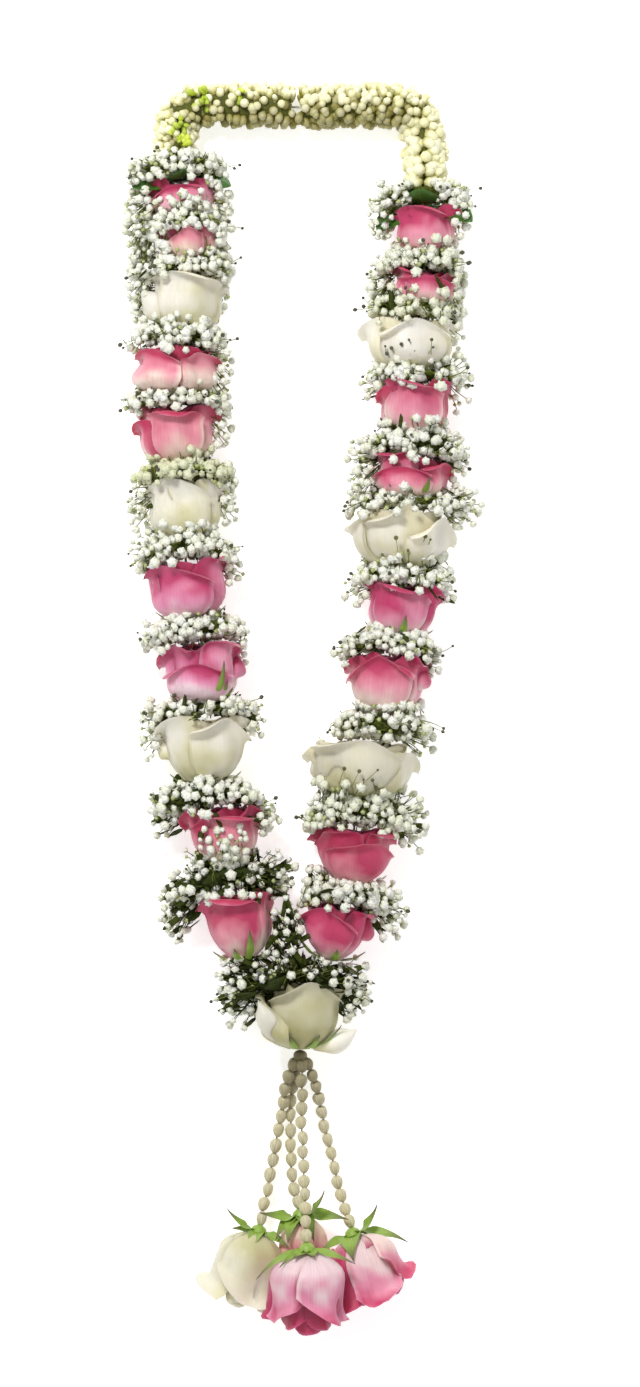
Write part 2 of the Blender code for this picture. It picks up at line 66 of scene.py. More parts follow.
# How high a flattened underside stays above the surface
UNDERSIDE = 0.8 * MM
UP = np.array((0.0, 0.0, 1.0))
TO_NECK = np.array((0.0, 1.0, 0.0))
TO_TASSEL = -TO_NECK

# What each channel of the "tone" attribute holds: how far along the piece's growth; how far inside or
# underneath, which on covered petals and on the neck rope's inner and lower buds carries painted shade; a
# chance value of its own for each petal or floret; and the depth of its colour, which on the greens of the
# baby's breath carries painted shade deep inside a ring
ALONG, INSIDE, CHANCE, DEPTH = range(4)


def srgb(red, green, blue):
    """The linear colour of a screen colour given in 0 to 255."""
    share = np.array((red, green, blue)) / 255
    linear = np.where(share <= 0.04045, share / 12.92, ((share + 0.055) / 1.055) ** 2.4)
    return tuple(float(c) for c in linear)


# Arrays


def unit(vectors):
    """The vectors at length one."""
    return vectors / np.maximum(np.linalg.norm(vectors, axis=-1, keepdims=True), 1e-12)


def ease(x):
    """Rises from 0 at 0 to 1 at 1, level at both ends: 3x^2 - 2x^3."""
    x = np.clip(x, 0.0, 1.0)
    return x * x * (3 - 2 * x)


def grid_quads(rows, columns, closed=False):
    """The corner numbers of each cell of a grid of points, closed if its last column meets its first."""
    i, j = np.meshgrid(np.arange(rows - 1), np.arange(columns if closed else columns - 1), indexing="ij")
    k = (j + 1) % columns
    corners = (i * columns + j, i * columns + k, (i + 1) * columns + k, (i + 1) * columns + j)
    return np.stack(corners, axis=-1).reshape(-1, 4)


def end_fans(rings, sides, low, high):
    """The triangles that close a run of rings at its two ends, each about its own pole."""
    ring = np.arange(sides)
    after = (ring + 1) % sides
    last = (rings - 1) * sides
    start = np.stack((np.full(sides, low), after, ring), axis=1)
    return np.concatenate((start, np.stack((np.full(sides, high), last + ring, last + after), axis=1)))


def tones(shape, along=0.0, inside=0.0, chance=0.0, depth=0.0):
    """The tone of so many points, or of a grid of them, with each channel given as one value or an array."""
    tone = np.zeros((*np.atleast_1d(shape), 4))
    for channel, value in ((ALONG, along), (INSIDE, inside), (CHANCE, chance), (DEPTH, depth)):
        tone[..., channel] = value
    return tone


def jitter(rng, spread, like):
    """Moves by chance, normal with the given spread in millimetres, for points like those given."""
    return rng.normal(scale=spread * MM, size=like.shape)


def patch(co, quads, tris=None, uv=None, tone=None, finish=0, border=None):
    """A bare surface as arrays: points, faces, pattern coordinates, tone, which material it takes, and which
    points lie on a thin edge."""
    count = len(co)
    return {
        "co": np.asarray(co, float),
        "quads": np.asarray(quads, int).reshape(-1, 4),
        "tris": np.zeros((0, 3), int) if tris is None else np.asarray(tris, int).reshape(-1, 3),
        "uv": np.zeros((count, 2)) if uv is None else np.asarray(uv, float).reshape(-1, 2),
        "tone": np.zeros((count, 4)) if tone is None else np.asarray(tone, float).reshape(-1, 4),
        "finish": finish,
        "border": np.zeros(count, bool) if border is None else border,
    }


def settled(co):
    """Points lower than SETTLE are pressed towards the surface, which they near but never reach.

    Below SETTLE the height becomes SETTLE times e to the power (height / SETTLE - 1)."""
    co = np.array(co, float)
    low = np.minimum(co[:, 2], SETTLE)
    co[:, 2] = np.where(co[:, 2] < SETTLE, SETTLE * np.exp(low / SETTLE - 1), co[:, 2])
    return co


def make_piece(name, patches, materials, nodes):
    """One smooth mesh of all the patches, which rides on the garland and stands for the named solids."""
    starts = np.cumsum([0] + [len(p["co"]) for p in patches])
    co, uv, tone, border = (np.concatenate([p[k] for p in patches]) for k in ("co", "uv", "tone", "border"))
    quads, tris = (np.concatenate([p[k] + s for p, s in zip(patches, starts)]) for k in ("quads", "tris"))
    finish = np.concatenate([np.full(len(p[k]), p["finish"]) for k in ("quads", "tris") for p in patches])
    loops = np.concatenate((quads.ravel(), tris.ravel()))
    sides = np.concatenate((np.full(len(quads), 4), np.full(len(tris), 3)))
    mesh = bpy.data.meshes.new(name)
    mesh.vertices.add(len(co))
    mesh.vertices.foreach_set("co", settled(co).ravel())
    mesh.loops.add(len(loops))
    mesh.loops.foreach_set("vertex_index", loops)
    mesh.polygons.add(len(sides))
    mesh.polygons.foreach_set("loop_start", np.concatenate(([0], np.cumsum(sides)[:-1])))
    mesh.polygons.foreach_set("material_index", finish)
    mesh.uv_layers.new(name="UVMap").data.foreach_set("uv", uv[loops].ravel())
    mesh.attributes.new("tone", "FLOAT_COLOR", "POINT").data.foreach_set("color", tone.ravel())
    for made in materials:
        mesh.materials.append(made)
    mesh.update(calc_edges=True)
    mesh.shade_smooth()
    ends = np.empty(2 * len(mesh.edges), np.int32)
    mesh.edges.foreach_get("vertices", ends)
    sharp = border[ends.reshape(-1, 2)].all(axis=1)
    mesh.attributes.new("sharp_edge", "BOOLEAN", "EDGE").data.foreach_set("value", sharp)
    obj = bpy.data.objects.new(name, mesh)
    bpy.context.scene.collection.objects.link(obj)
    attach(obj, BODY)
    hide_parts(*nodes)
    return obj


def shells(sheets, thickness, uv, tone, finish=0):
    """Closed thin shells round a stack of curved sheets, given as (sheets, across, along, xyz) points.

    Each sheet's two faces are its points moved by half the thickness along the surface's normal, which is
    the cross product of its two directions. They meet in a sharp edge at the border, which they share, and
    their cells are split along the same diagonal, so that neither comes through the other."""
    count, across, along, _ = sheets.shape
    normal = unit(np.cross(np.gradient(sheets, axis=1), np.gradient(sheets, axis=2)))
    from_edge = np.ones((across, along))
    from_edge[[0, -1], :] = 0
    from_edge[:, [0, -1]] = 0
    half = normal * (0.5 * thickness * from_edge)[None, :, :, None]
    per_sheet = across * along
    inside = np.flatnonzero(from_edge.ravel())
    shared = np.arange(per_sheet)
    shared[inside] = per_sheet + np.arange(len(inside))
    quads = grid_quads(across, along)
    one_shell = np.concatenate((quads[:, [0, 3, 2, 1]], shared[quads]))
    per = per_sheet + len(inside)
    faced = [side.reshape(count, per_sheet, 3) for side in (sheets + half, sheets - half)]
    co = np.concatenate((faced[0], faced[1][:, inside]), axis=1)
    faces = (one_shell[None] + per * np.arange(count)[:, None, None]).reshape(-1, 4)
    uv, tone = (
        np.broadcast_to(values, (*sheets.shape[:3], parts)).reshape(count, per_sheet, parts)
        for values, parts in ((uv, 2), (tone, 4))
    )
    under = tone[:, inside].copy()
    under[..., INSIDE] = 1.0
    uv = np.concatenate((uv, uv[:, inside]), axis=1)
    tone = np.concatenate((tone, under), axis=1)
    border = np.tile(np.concatenate((from_edge.ravel() == 0, np.zeros(len(inside), bool))), count)
    return patch(co.reshape(-1, 3), faces, None, uv, tone, finish, border)


def round_form(columns, profile):
    """A closed form turned about z. profile gives its radius and height at each ring, from pole to pole.

    Returns its points, quads, end triangles, the share of the way along and the angle at each point."""
    angle = np.arange(columns) * math.tau / columns
    radius, height = np.array(profile[1:-1]).T[..., None]
    x, y = radius * np.cos(angle), radius * np.sin(angle)
    co = np.stack(np.broadcast_arrays(x, y, height), axis=-1).reshape(-1, 3)
    poles = np.array(((0, 0, profile[0][1]), (0, 0, profile[-1][1])))
    tris = end_fans(len(height), columns, len(co), len(co) + 1)
    along = np.concatenate((np.repeat(np.linspace(0, 1, len(profile))[1:-1], columns), (0.0, 1.0)))
    turn = np.concatenate((np.tile(angle, len(height)), (0.0, 0.0)))
    return np.concatenate((co, poles)), grid_quads(len(height), columns, closed=True), tris, along, turn


def turned_to(directions, rng):
    """Rotations that turn z to each direction, each rolled by chance."""
    side = unit(np.cross(rng.normal(size=directions.shape), directions))
    return np.stack((side, np.cross(directions, side), directions), axis=-1)


def scatter(form, places, turns, sizes, tone, finish=0):
    """A copy of the form at each place, turned and scaled. tone holds channel values for each copy."""
    co, quads, tris, along, turn = form
    count, per = len(places), len(co)
    sizes = np.asarray(sizes, float)
    sizes = sizes[:, None, None] if sizes.ndim == 1 else sizes[:, None, :]
    moved = np.einsum("nij,nvj->nvi", turns, co[None] * sizes) + places[:, None]
    step = per * np.arange(count)[:, None, None]
    spread = np.repeat(tone[:, None, :], per, axis=1)
    spread[..., ALONG] = along
    uv = np.broadcast_to(np.stack((turn / math.tau, along), axis=-1), (count, per, 2))
    quads, tris = (quads[None] + step).reshape(-1, 4), (tris[None] + step).reshape(-1, 3)
    return patch(moved.reshape(-1, 3), quads, tris, uv, spread, finish)


def stems(paths, radii, tone, finish=0):
    """Thin three-sided stems along paths, given as (stems, points, xyz), with a radius at every point."""
    count, steps, _ = paths.shape
    along = unit(np.gradient(paths, axis=1))
    side = unit(np.cross(along, np.array((0.31, 0.52, 0.79))))
    up = np.cross(along, side)
    angle = np.arange(3) * math.tau / 3
    ring = side[:, :, None] * np.cos(angle)[:, None] + up[:, :, None] * np.sin(angle)[:, None]
    co = paths[:, :, None] + ring * np.asarray(radii)[..., None, None]
    per = steps * 3
    step = per * np.arange(count)[:, None, None]
    quads = grid_quads(steps, 3, closed=True)
    caps = np.array(((2, 1, 0), (per - 3, per - 2, per - 1)))
    spread = np.repeat(np.repeat(tone[:, None, :], steps, axis=1)[:, :, None, :], 3, axis=2)
    spread[..., ALONG] = np.linspace(0, 1, steps)[None, :, None]
    quads, caps = (quads[None] + step).reshape(-1, 4), (caps[None] + step).reshape(-1, 3)
    return patch(co.reshape(-1, 3), quads, caps, None, spread, finish)


def curved_paths(starts, middles, ends, steps):
    """Quadratic curves from each start to each end, drawn towards each middle."""
    t = np.linspace(0, 1, steps)[None, :, None]
    return (1 - t) ** 2 * starts[:, None] + 2 * t * (1 - t) * middles[:, None] + t**2 * ends[:, None]


# What the frame says


def solid_corners(name):
    """All the points of a solid's mesh, which its triangles don't share."""
    mesh = NODES[name].data
    co = np.empty(len(mesh.vertices) * 3, np.float32)
    mesh.vertices.foreach_get("co", co)
    return co.reshape(-1, 3)


def solid_points(name):
    """A solid's corner points, each once."""
    return np.unique(solid_corners(name).round(6), axis=0).astype(float)


def solid_triangles(name):
    """A solid's triangles, as three corner points each."""
    mesh = NODES[name].data
    mesh.calc_loop_triangles()
    corners = np.empty(len(mesh.loop_triangles) * 3, np.int32)
    mesh.loop_triangles.foreach_get("vertices", corners)
    return solid_corners(name)[corners].reshape(-1, 3, 3).astype(float)


# How many points of a rose's solid lie round its hip, how far they are above its base, and how far its
# outermost points stand out past its radius
HIP_POINTS = 16
HIP_LIFT = 0.45 * MM
PETAL_STEP = 1.1 * MM


def bloom(name, run):
    """Where a rose sits: its base, its side, sky and rim directions, its height and its radius.

    The lowest points of its solid along its run are the rings round its hip, and their middle is its base.
    The line from there to the middle of all its points is its axis."""
    points = solid_points(name)
    axis = run
    for _ in range(4):
        lowest = points[np.argsort(points @ axis)[:HIP_POINTS]]
        base = lowest.mean(axis=0)
        axis = unit(points.mean(axis=0) - base)
    base = base - axis * HIP_LIFT
    away = points - base
    height = (away @ axis).max()
    radius = np.linalg.norm(away - np.outer(away @ axis, axis), axis=1).max() - PETAL_STEP
    side = unit(np.cross(UP, axis))
    turn = np.stack((side, np.cross(axis, side), axis), axis=-1)
    return {"base": base, "turn": turn, "axis": axis, "height": height, "radius": radius}


def into(place, points):
    """World points in the directions of a bloom, from its base."""
    return (points - place["base"]) @ place["turn"]


def out_of(place, local):
    """Points of a bloom's own directions, in the world."""
    return local @ place["turn"].T + place["base"]


def round_axis(place, wide, turn, up):
    """World points at a distance from a bloom's axis, an angle about it and a height up it."""
    x, y = wide * np.cos(turn), wide * np.sin(turn)
    return out_of(place, np.stack(np.broadcast_arrays(x, y, up), axis=-1))


def flattened(place, y, reach):
    """Sideways places, those under the axis pressed flatter where the reach would go below UNDERSIDE."""
    return np.where(y < 0, y * min(1.0, (place["base"][2] - UNDERSIDE) / reach.max()), y)


STRUNG = {side: sorted(n for n in NODES if n.startswith(f"rose_{side}_")) for side in ("left", "right")}
TIP = "rose_tip_white"
HANGING = sorted(n for n in NODES if n.startswith("tassel_rose_"))
BLOOMS = {n: bloom(n, TO_NECK) for names in STRUNG.values() for n in names}
BLOOMS[TIP] = bloom(TIP, TO_NECK)
BLOOMS.update({n: bloom(n, TO_TASSEL) for n in HANGING})


# Settings


def number(label, about, default, **kind):
    """A named number that a user may change."""
    return bpy.props.FloatProperty(name=label, description=about, default=default, **kind)


def size(label, about, default):
    """A named length."""
    return number(label, about, default, unit="LENGTH", precision=4)


def share(label, about, default):
    """A named share between nothing and one."""
    return number(label, about, default, min=0, max=1, subtype="FACTOR")


def power(label, about, default):
    """A lamp's named power."""
    return number(label, about, default, min=0, unit="POWER")


def colour(label, about, default):
    """A named colour."""
    kind = {"size": 3, "min": 0, "max": 1, "subtype": "COLOR"}
    return bpy.props.FloatVectorProperty(name=label, description=about, default=default, **kind)


class RoseSettings(bpy.types.PropertyGroup):
    """Sizes and colours of the petals."""

    petal_thickness: size("Petal thickness", "Thickness in the middle of a petal", 0.7 * MM)
    hip_radius: size("Hip radius", "Radius where the petals grow from", 4.6 * MM)
    overlap: size("Overlap", "How far one side of a petal stands off its neighbour", 1.1 * MM)
    pink_foot: colour("Pink foot", "Foot of a pink petal", srgb(252, 228, 218))
    pink_middle: colour("Pink middle", "Middle of a pink petal", srgb(236, 156, 176))
    pink_rim: colour("Pink rim", "Rim of a pink petal", srgb(196, 62, 108))
    # The inside colours also serve as painted shade where one petal covers another
    pink_inside: colour("Pink inside", "Inner face of a pink petal", srgb(176, 40, 84))
    white_foot: colour("White foot", "Foot of a white petal", srgb(228, 223, 176))
    white_middle: colour("White middle", "Middle of a white petal", srgb(250, 245, 222))
    white_rim: colour("White rim", "Rim of a white petal", srgb(253, 249, 236))
    # Also painted shade where one white petal covers another
    white_inside: colour("White inside", "Inner face of a white petal", srgb(238, 230, 190))


class SpraySettings(bpy.types.PropertyGroup):
    """Sizes and colours of the baby's breath."""

    florets: bpy.props.IntProperty(name="Florets", description="Florets in each ring", default=170, min=1)
    floret_radius: size("Floret radius", "Mean radius of a floret", 3.0 * MM)
    stem_radius: size("Stem radius", "Radius of a floret's stem", 0.36 * MM)
    stray_length: size("Stray length", "Longest stem that stands out of a ring", 11 * MM)
    floret_tip: colour("Floret", "Petals of a floret", srgb(250, 250, 246))
    floret_foot: colour("Floret foot", "Calyx of a floret", srgb(150, 165, 105))
    stem: colour("Stem", "Stems of the sprays", srgb(140, 152, 58))
    # Painted shade: the dark green that the greens deep inside a ring are mixed towards
    shade: colour("Shade", "Greens inside a ring", srgb(52, 64, 16))


class BudSettings(bpy.types.PropertyGroup):
    """Sizes and colours of the jasmine buds."""

    rope_radius: size("Rope radius", "From the thread to the tips of the buds", 17.0 * MM)
    neck_bud_length: size("Neck bud length", "Length of a bud of the neck rope", 11.5 * MM)
    neck_bud_radius: size("Neck bud radius", "Radius of a bud of the neck rope", 3.3 * MM)
    tassel_bud_radius: size("Tassel bud radius", "Radius of a bud of the tassel", 4.1 * MM)
    tassel_bud_pitch: size("Tassel bud pitch", "From one bud of a string to the next", 10.4 * MM)
    neck_tip: colour("Neck bud", "Tip of a bud of the neck rope", srgb(250, 247, 216))
    neck_foot: colour("Neck bud foot", "Foot of a bud of the neck rope", srgb(166, 160, 46))
    tassel_skin: colour("Tassel bud", "Skin of a bud of the tassel", srgb(206, 199, 168))
    tassel_seam: colour("Tassel bud seam", "Seams of a bud of the tassel", srgb(150, 140, 100))


class GreenSettings(bpy.types.PropertyGroup):
    """Sizes and colours of sepals, leaves and thread."""

    sepal_thickness: size("Sepal thickness", "Thickness of a sepal", 0.8 * MM)
    sepal: colour("Sepal", "Middle of a sepal", srgb(166, 196, 84))
    sepal_tip: colour("Sepal tip", "Tip of a sepal", srgb(92, 80, 60))
    leaf_thickness: size("Leaf thickness", "Thickness of a leaf", 0.7 * MM)
    leaf: colour("Leaf", "Blade of a leaf", srgb(44, 84, 22))
    leaf_vein: colour("Leaf vein", "Veins of a leaf", srgb(84, 112, 60))
    cotton: colour("Cotton", "The thread", srgb(236, 230, 212))


class StageSettings(bpy.types.PropertyGroup):
    """The floor, the light and the camera."""

    camera_distance: size("Camera distance", "Height of the camera above the flowers", 4.0)
    picture_height: size("Picture height", "Length that the picture covers at the flowers", 0.971)
    floor_width: size("Floor width", "Width of the floor, which fills the picture from any side", 24.0)
    floor: colour("Floor", "The pale floor", (0.93, 0.93, 0.93))
    floor_glow: share("Floor glow", "Light that the floor itself gives", 0.55)
    sky_light: share("Sky light", "Light that comes evenly from all round", 0.44)
    key_power: power("Key lamp", "The lamp above the neck, at the left", 52)
    fill_power: power("Fill lamp", "The large lamp above the tassel, at the right", 12)


# Materials


class Finish:
    """One material, to which nodes are added by name."""

    def __init__(self, name, roughness):
        self.material = bpy.data.materials.new(name)
        self.material.use_nodes = True
        self.tree = self.material.node_tree
        self.shader = self.tree.nodes["Principled BSDF"]
        self.fix(Roughness=roughness)
        tone = self.add("ShaderNodeAttribute", attribute_name="tone")
        parts = self.add("ShaderNodeSeparateColor", {"Color": tone.outputs["Color"]})
        self.along, self.inside, self.chance = parts.outputs
        self.depth = tone.outputs["Alpha"]
        self.place = self.add("ShaderNodeTexCoord").outputs["Object"]
        self.uv = self.add("ShaderNodeUVMap", uv_map="UVMap").outputs["UV"]

    def add(self, kind, inputs=None, **settings):
        """A node with its settings, and each input given as a value or as another node's output."""
        node = self.tree.nodes.new(kind)
        for key, value in settings.items():
            setattr(node, key, value)
        for key, value in (inputs or {}).items():
            if isinstance(value, bpy.types.NodeSocket):
                self.tree.links.new(value, node.inputs[key])
            else:
                node.inputs[key].default_value = value
        return node

    def math(self, operation, a, b=0.0, clamp=False):
        """One sum on two values."""
        return self.add("ShaderNodeMath", {0: a, 1: b}, operation=operation, use_clamp=clamp).outputs[0]

    def times(self, a, b, clamp=False):
        """Two values multiplied."""
        return self.math("MULTIPLY", a, b, clamp)

    def about_half(self, value, gain):
        """How far a value is over or under a half, times a gain."""
        return self.times(self.math("SUBTRACT", value, 0.5), gain)

    def over(self, value, start, gain, clamp=False):
        """How far a value is over a start, or nothing where it is under it, times a gain."""
        return self.times(self.math("SUBTRACT", value, start, clamp=True), gain, clamp)

    def span(self, value, low, high, to_low=0.0, to_high=1.0):
        """A value carried to another range, so that low becomes to_low and high becomes to_high."""
        ends = {"From Min": low, "From Max": high, "To Min": to_low, "To Max": to_high}
        return self.add("ShaderNodeMapRange", {"Value": value, **ends}).outputs["Result"]

    def mix(self, factor, a, b, blend="MIX"):
        """Colour a, going over to colour b as the factor rises: the node's inputs 6, 7 and 0."""
        a, b = (c if isinstance(c, bpy.types.NodeSocket) else (*c, 1.0) for c in (a, b))
        inputs = {0: factor, 6: a, 7: b}
        return self.add("ShaderNodeMix", inputs, data_type="RGBA", blend_type=blend).outputs[2]

    def ramp(self, factor, stops):
        """A colour that follows stops, given as (place, colour)."""
        node = self.add("ShaderNodeValToRGB", {"Fac": factor})
        elements = node.color_ramp.elements
        while len(elements) < len(stops):
            elements.new(0.5)
        for element, (at, rgb) in zip(elements, stops):
            element.position = at
            element.color = (*rgb, 1.0)
        return node.outputs["Color"]

    def noise(self, scale, detail=2.0, vector=None, stretch=None, roughness=0.5):
        """Noise of so many waves to the metre, or to the pattern's own unit, stretched if wanted."""
        vector = vector or self.place
        if stretch:
            mapped = self.add("ShaderNodeMapping", {"Vector": vector, "Scale": stretch})
            vector = mapped.outputs["Vector"]
        inputs = {"Vector": vector, "Scale": scale, "Detail": detail, "Roughness": roughness}
        return self.add("ShaderNodeTexNoise", inputs).outputs["Fac"]

    def bump(self, height, distance, strength, after=None):
        """A normal tilted by a height, on top of another one if given."""
        inputs = {"Height": height, "Distance": distance, "Strength": strength}
        if after:
            inputs["Normal"] = after
        return self.add("ShaderNodeBump", inputs).outputs["Normal"]

    def wear(self, colour_socket, normal=None, roughness=None):
        """Joins the finished colour, normal and roughness to the shader, and returns the material."""
        for name, socket in (("Base Color", colour_socket), ("Normal", normal), ("Roughness", roughness)):
            if socket:
                self.tree.links.new(socket, self.shader.inputs[name])
        return self.material

    def fix(self, **values):
        """Sets the shader's own sockets, named with _ for a space."""
        for name, value in values.items():
            self.shader.inputs[name.replace("_", " ")].default_value = value

    def soft(self, weight, radius, scale):
        """Lets light through the surface, as petals do."""
        self.fix(Subsurface_Weight=weight, Subsurface_Radius=radius, Subsurface_Scale=scale)


def petal_finish(name, foot, middle, rim, inside, velvet, thinness, glow, warm, cool):
    """Petal skin: pale at the foot and deeper to the rim, in soft clouds, with fine veins along it.

    warm and cool are the casts between which one rose differs from another. inside is the inner face's
    deeper colour, also used as painted shade where another petal covers one."""
    f = Finish(name, 0.5)
    place = f.math("ADD", f.along, f.about_half(f.noise(34), 1.3))
    place = f.math("ADD", place, f.about_half(f.depth, 0.8), clamp=True)
    skin = f.ramp(place, ((0.28, foot), (0.58, middle), (0.92, rim)))
    # The inside colour: the inner face's deeper colour, and painted shade where a petal is covered
    skin = f.mix(f.times(f.inside, 0.75), skin, inside)
    veins = f.noise(1.0, 3.0, f.uv, (42.0, 2.2, 1.0), 0.6)
    fine = f.noise(1.0, 2.0, f.uv, (130.0, 5.0, 1.0), 0.5)
    skin = f.mix(f.over(veins, 0.45, 0.75), skin, tuple(0.72 * c for c in rim))
    skin = f.mix(0.8, skin, f.mix(f.chance, warm, cool), "MULTIPLY")
    normal = f.bump(veins, 0.35 * MM, 0.35)
    normal = f.bump(fine, 0.12 * MM, 0.4, normal)
    normal = f.bump(f.noise(110, 3.0), 2.0 * MM, 0.3, normal)
    f.fix(Sheen_Weight=velvet, Sheen_Roughness=0.4)
    f.soft(thinness, glow, 4 * MM)
    return f.wear(skin, normal, f.span(fine, 0.0, 1.0, 0.42, 0.6))


def floret_finish(settings):
    """Ruffled white petals over a green calyx, some florets greyer than others, with painted grey-green
    shade between the ruffles.
    """
    f = Finish("floret_petals", 0.6)
    white = f.mix(f.times(f.chance, 0.45), settings.floret_tip, srgb(228, 229, 200))
    foot = f.mix(f.math("GREATER_THAN", f.chance, BUD_SHARE), white, srgb(170, 180, 120))
    skin = f.mix(f.span(f.along, 0.10, 0.42), settings.floret_foot, foot)
    skin = f.mix(f.times(f.depth, 0.55), skin, srgb(190, 196, 112))
    cells = f.add("ShaderNodeTexVoronoi", {"Vector": f.place, "Scale": 620.0}, feature="F1")
    ruffle = cells.outputs["Distance"]
    # Painted shade: grey-green where the cells' edges fall between the ruffles
    skin = f.mix(f.over(ruffle, 0.42, 1.3, clamp=True), skin, srgb(186, 190, 140))
    normal = f.bump(f.math("SUBTRACT", 1.0, ruffle), 0.9 * MM, 0.7)
    f.soft(0.3, (1.0, 0.95, 0.7), 2.5 * MM)
    return f.wear(skin, normal)


def stem_finish(settings):
    """Green stems and blades, mixed by the tone's depth towards a dark green that is painted shade deep
    inside a ring.
    """
    f = Finish("spray_greens", 0.55)
    green = f.mix(f.noise(220), settings.stem, srgb(100, 110, 36))
    green = f.mix(f.chance, green, srgb(164, 170, 74))
    # Painted shade: the deeper a green sits in a ring, the more it takes the shade colour
    skin = f.mix(f.depth, green, settings.shade)
    skin = f.mix(f.inside, skin, srgb(104, 104, 84))
    skin = f.mix(f.times(f.noise(420, 3.0), 0.5), skin, srgb(16, 22, 6))
    f.fix(Specular_IOR_Level=0.15)
    return f.wear(skin, f.bump(f.noise(420, 4.0), 3.0 * MM, 0.9))


def neck_bud_finish(settings):
    """Waxy cream buds, olive where they sit in the rope, with painted shade in a darker olive on the buds
    inside the loop and in the lower layer.
    """
    f = Finish("neck_jasmine", 0.42)
    tip = f.mix(f.chance, settings.neck_tip, srgb(244, 240, 190))
    place = f.math("ADD", f.along, f.about_half(f.noise(90), 0.4))
    bright = f.mix(f.chance, srgb(208, 222, 64), srgb(158, 184, 36))
    foot = f.mix(f.depth, settings.neck_foot, bright)
    cover = f.times(f.span(place, 0.35, 0.75), f.math("SUBTRACT", 1.0, f.times(f.depth, 0.9)))
    # Painted shade: buds marked as inside or underneath go darker olive
    skin = f.mix(f.inside, f.mix(cover, foot, tip), srgb(124, 114, 24))
    seams = f.noise(1.0, 2.0, f.uv, (10.0, 1.5, 1.0))
    skin = f.mix(f.over(seams, 0.5, 0.8), skin, srgb(186, 176, 96))
    f.fix(Specular_IOR_Level=0.3)
    f.soft(0.18, (1.0, 0.85, 0.4), 2.0 * MM)
    return f.wear(skin, f.bump(seams, 0.4 * MM, 0.4))


def rope_core_finish():
    """The tangle of stalks between the buds, their green darkened as painted shade."""
    f = Finish("rope_stalks", 0.8)
    # Painted shade: the stalks' green darkened towards black where the buds shade them
    skin = f.mix(f.noise(260, 3.0), srgb(40, 46, 8), srgb(104, 106, 24))
    return f.wear(skin, f.bump(f.noise(700, 3.0), 1.2 * MM, 0.8))


def tassel_bud_finish(settings):
    """Grey-cream buds whose folded petals show as seams along them, darker near the knot, with painted shade
    at each bud's ends where it meets the next.
    """
    f = Finish("tassel_jasmine", 0.5)
    lines = f.noise(1.0, 2.0, f.uv, (26.0, 2.0, 1.0), 0.6)
    seams = f.over(lines, 0.42, 3.0, clamp=True)
    skin = f.mix(seams, settings.tassel_skin, settings.tassel_seam)
    skin = f.mix(f.times(f.chance, 0.35), skin, srgb(206, 196, 150))
    skin = f.mix(f.depth, skin, srgb(112, 102, 68))
    # Painted shade at both ends of each bud, where it meets the next
    ends = f.span(f.math("ABSOLUTE", f.math("SUBTRACT", f.along, 0.5)), 0.34, 0.5)
    skin = f.mix(f.times(ends, 0.7), skin, srgb(112, 100, 62))
    f.soft(0.1, (1.0, 0.85, 0.6), 1.5 * MM)
    return f.wear(skin, f.bump(lines, 0.35 * MM, 0.5))


def sepal_finish(settings):
    """Bright green sepals, veined along, dull and brown towards the tip."""
    f = Finish("sepal_skin", 0.45)
    veins = f.noise(1.0, 3.0, f.uv, (18.0, 2.5, 1.0), 0.6)
    skin = f.mix(veins, settings.sepal, srgb(108, 142, 48))
    skin = f.mix(f.times(f.inside, 0.45), skin, srgb(150, 178, 104))
    skin = f.mix(f.span(f.along, 0.45, 0.95), skin, settings.sepal_tip)
    return f.wear(skin, f.bump(veins, 0.5 * MM, 0.5))


def leaf_finish(settings):
    """Dark glossy leaf with a pale midrib and side veins."""
    f = Finish("leaf_blade", 0.38)
    split = f.add("ShaderNodeSeparateXYZ", {"Vector": f.uv})
    off_rib = f.math("ABSOLUTE", f.math("SUBTRACT", split.outputs["X"], 0.5))
    slant = f.math("SUBTRACT", split.outputs["Y"], f.times(off_rib, 0.9))
    side_veins = f.math("SINE", f.times(slant, 62.0))
    rib = f.span(off_rib, 0.0, 0.035, 1.0, 0.0)
    lines = f.math("MAXIMUM", rib, f.times(f.span(side_veins, 0.86, 1.0), 0.6))
    skin = f.mix(f.noise(120, 3.0), settings.leaf, srgb(70, 116, 34))
    skin = f.mix(lines, skin, settings.leaf_vein)
    return f.wear(skin, f.bump(lines, 0.5 * MM, 0.5))


def cotton_finish(settings):
    """Twisted cotton: fine slanting strands."""
    f = Finish("cotton_thread", 0.9)
    waves = {"Vector": f.place, "Scale": 420.0, "Distortion": 1.5, "Detail": 1.0}
    strands = f.add("ShaderNodeTexWave", waves, bands_direction="DIAGONAL").outputs["Fac"]
    skin = f.mix(strands, settings.cotton, srgb(196, 186, 160))
    return f.wear(skin, f.bump(strands, 0.2 * MM, 0.6))


def floor_finish(tint, glow):
    """The plain pale floor, barely mottled, which glows a little as a light table does."""
    f = Finish("pale_floor", 0.9)
    f.fix(Emission_Color=(1.0, 1.0, 1.0, 1.0), Emission_Strength=glow)
    return f.wear(f.mix(f.noise(3.0), tint, tuple(0.97 * c for c in tint)))


# Roses

ACROSS, LENGTHWAYS = 13, 15
RIM_STARTS = 0.80
# A painted edge line: how far a petal's side edges move from its rim's colour towards its foot's, as a share
# of the way along. On pink petals this paints a highlight, on white ones a yellow-green painted shade
PAINTED_EDGE_LINE = 0.3
# How much closer to the axis a petal lies where another one covers it
BEHIND = 2.0 * MM
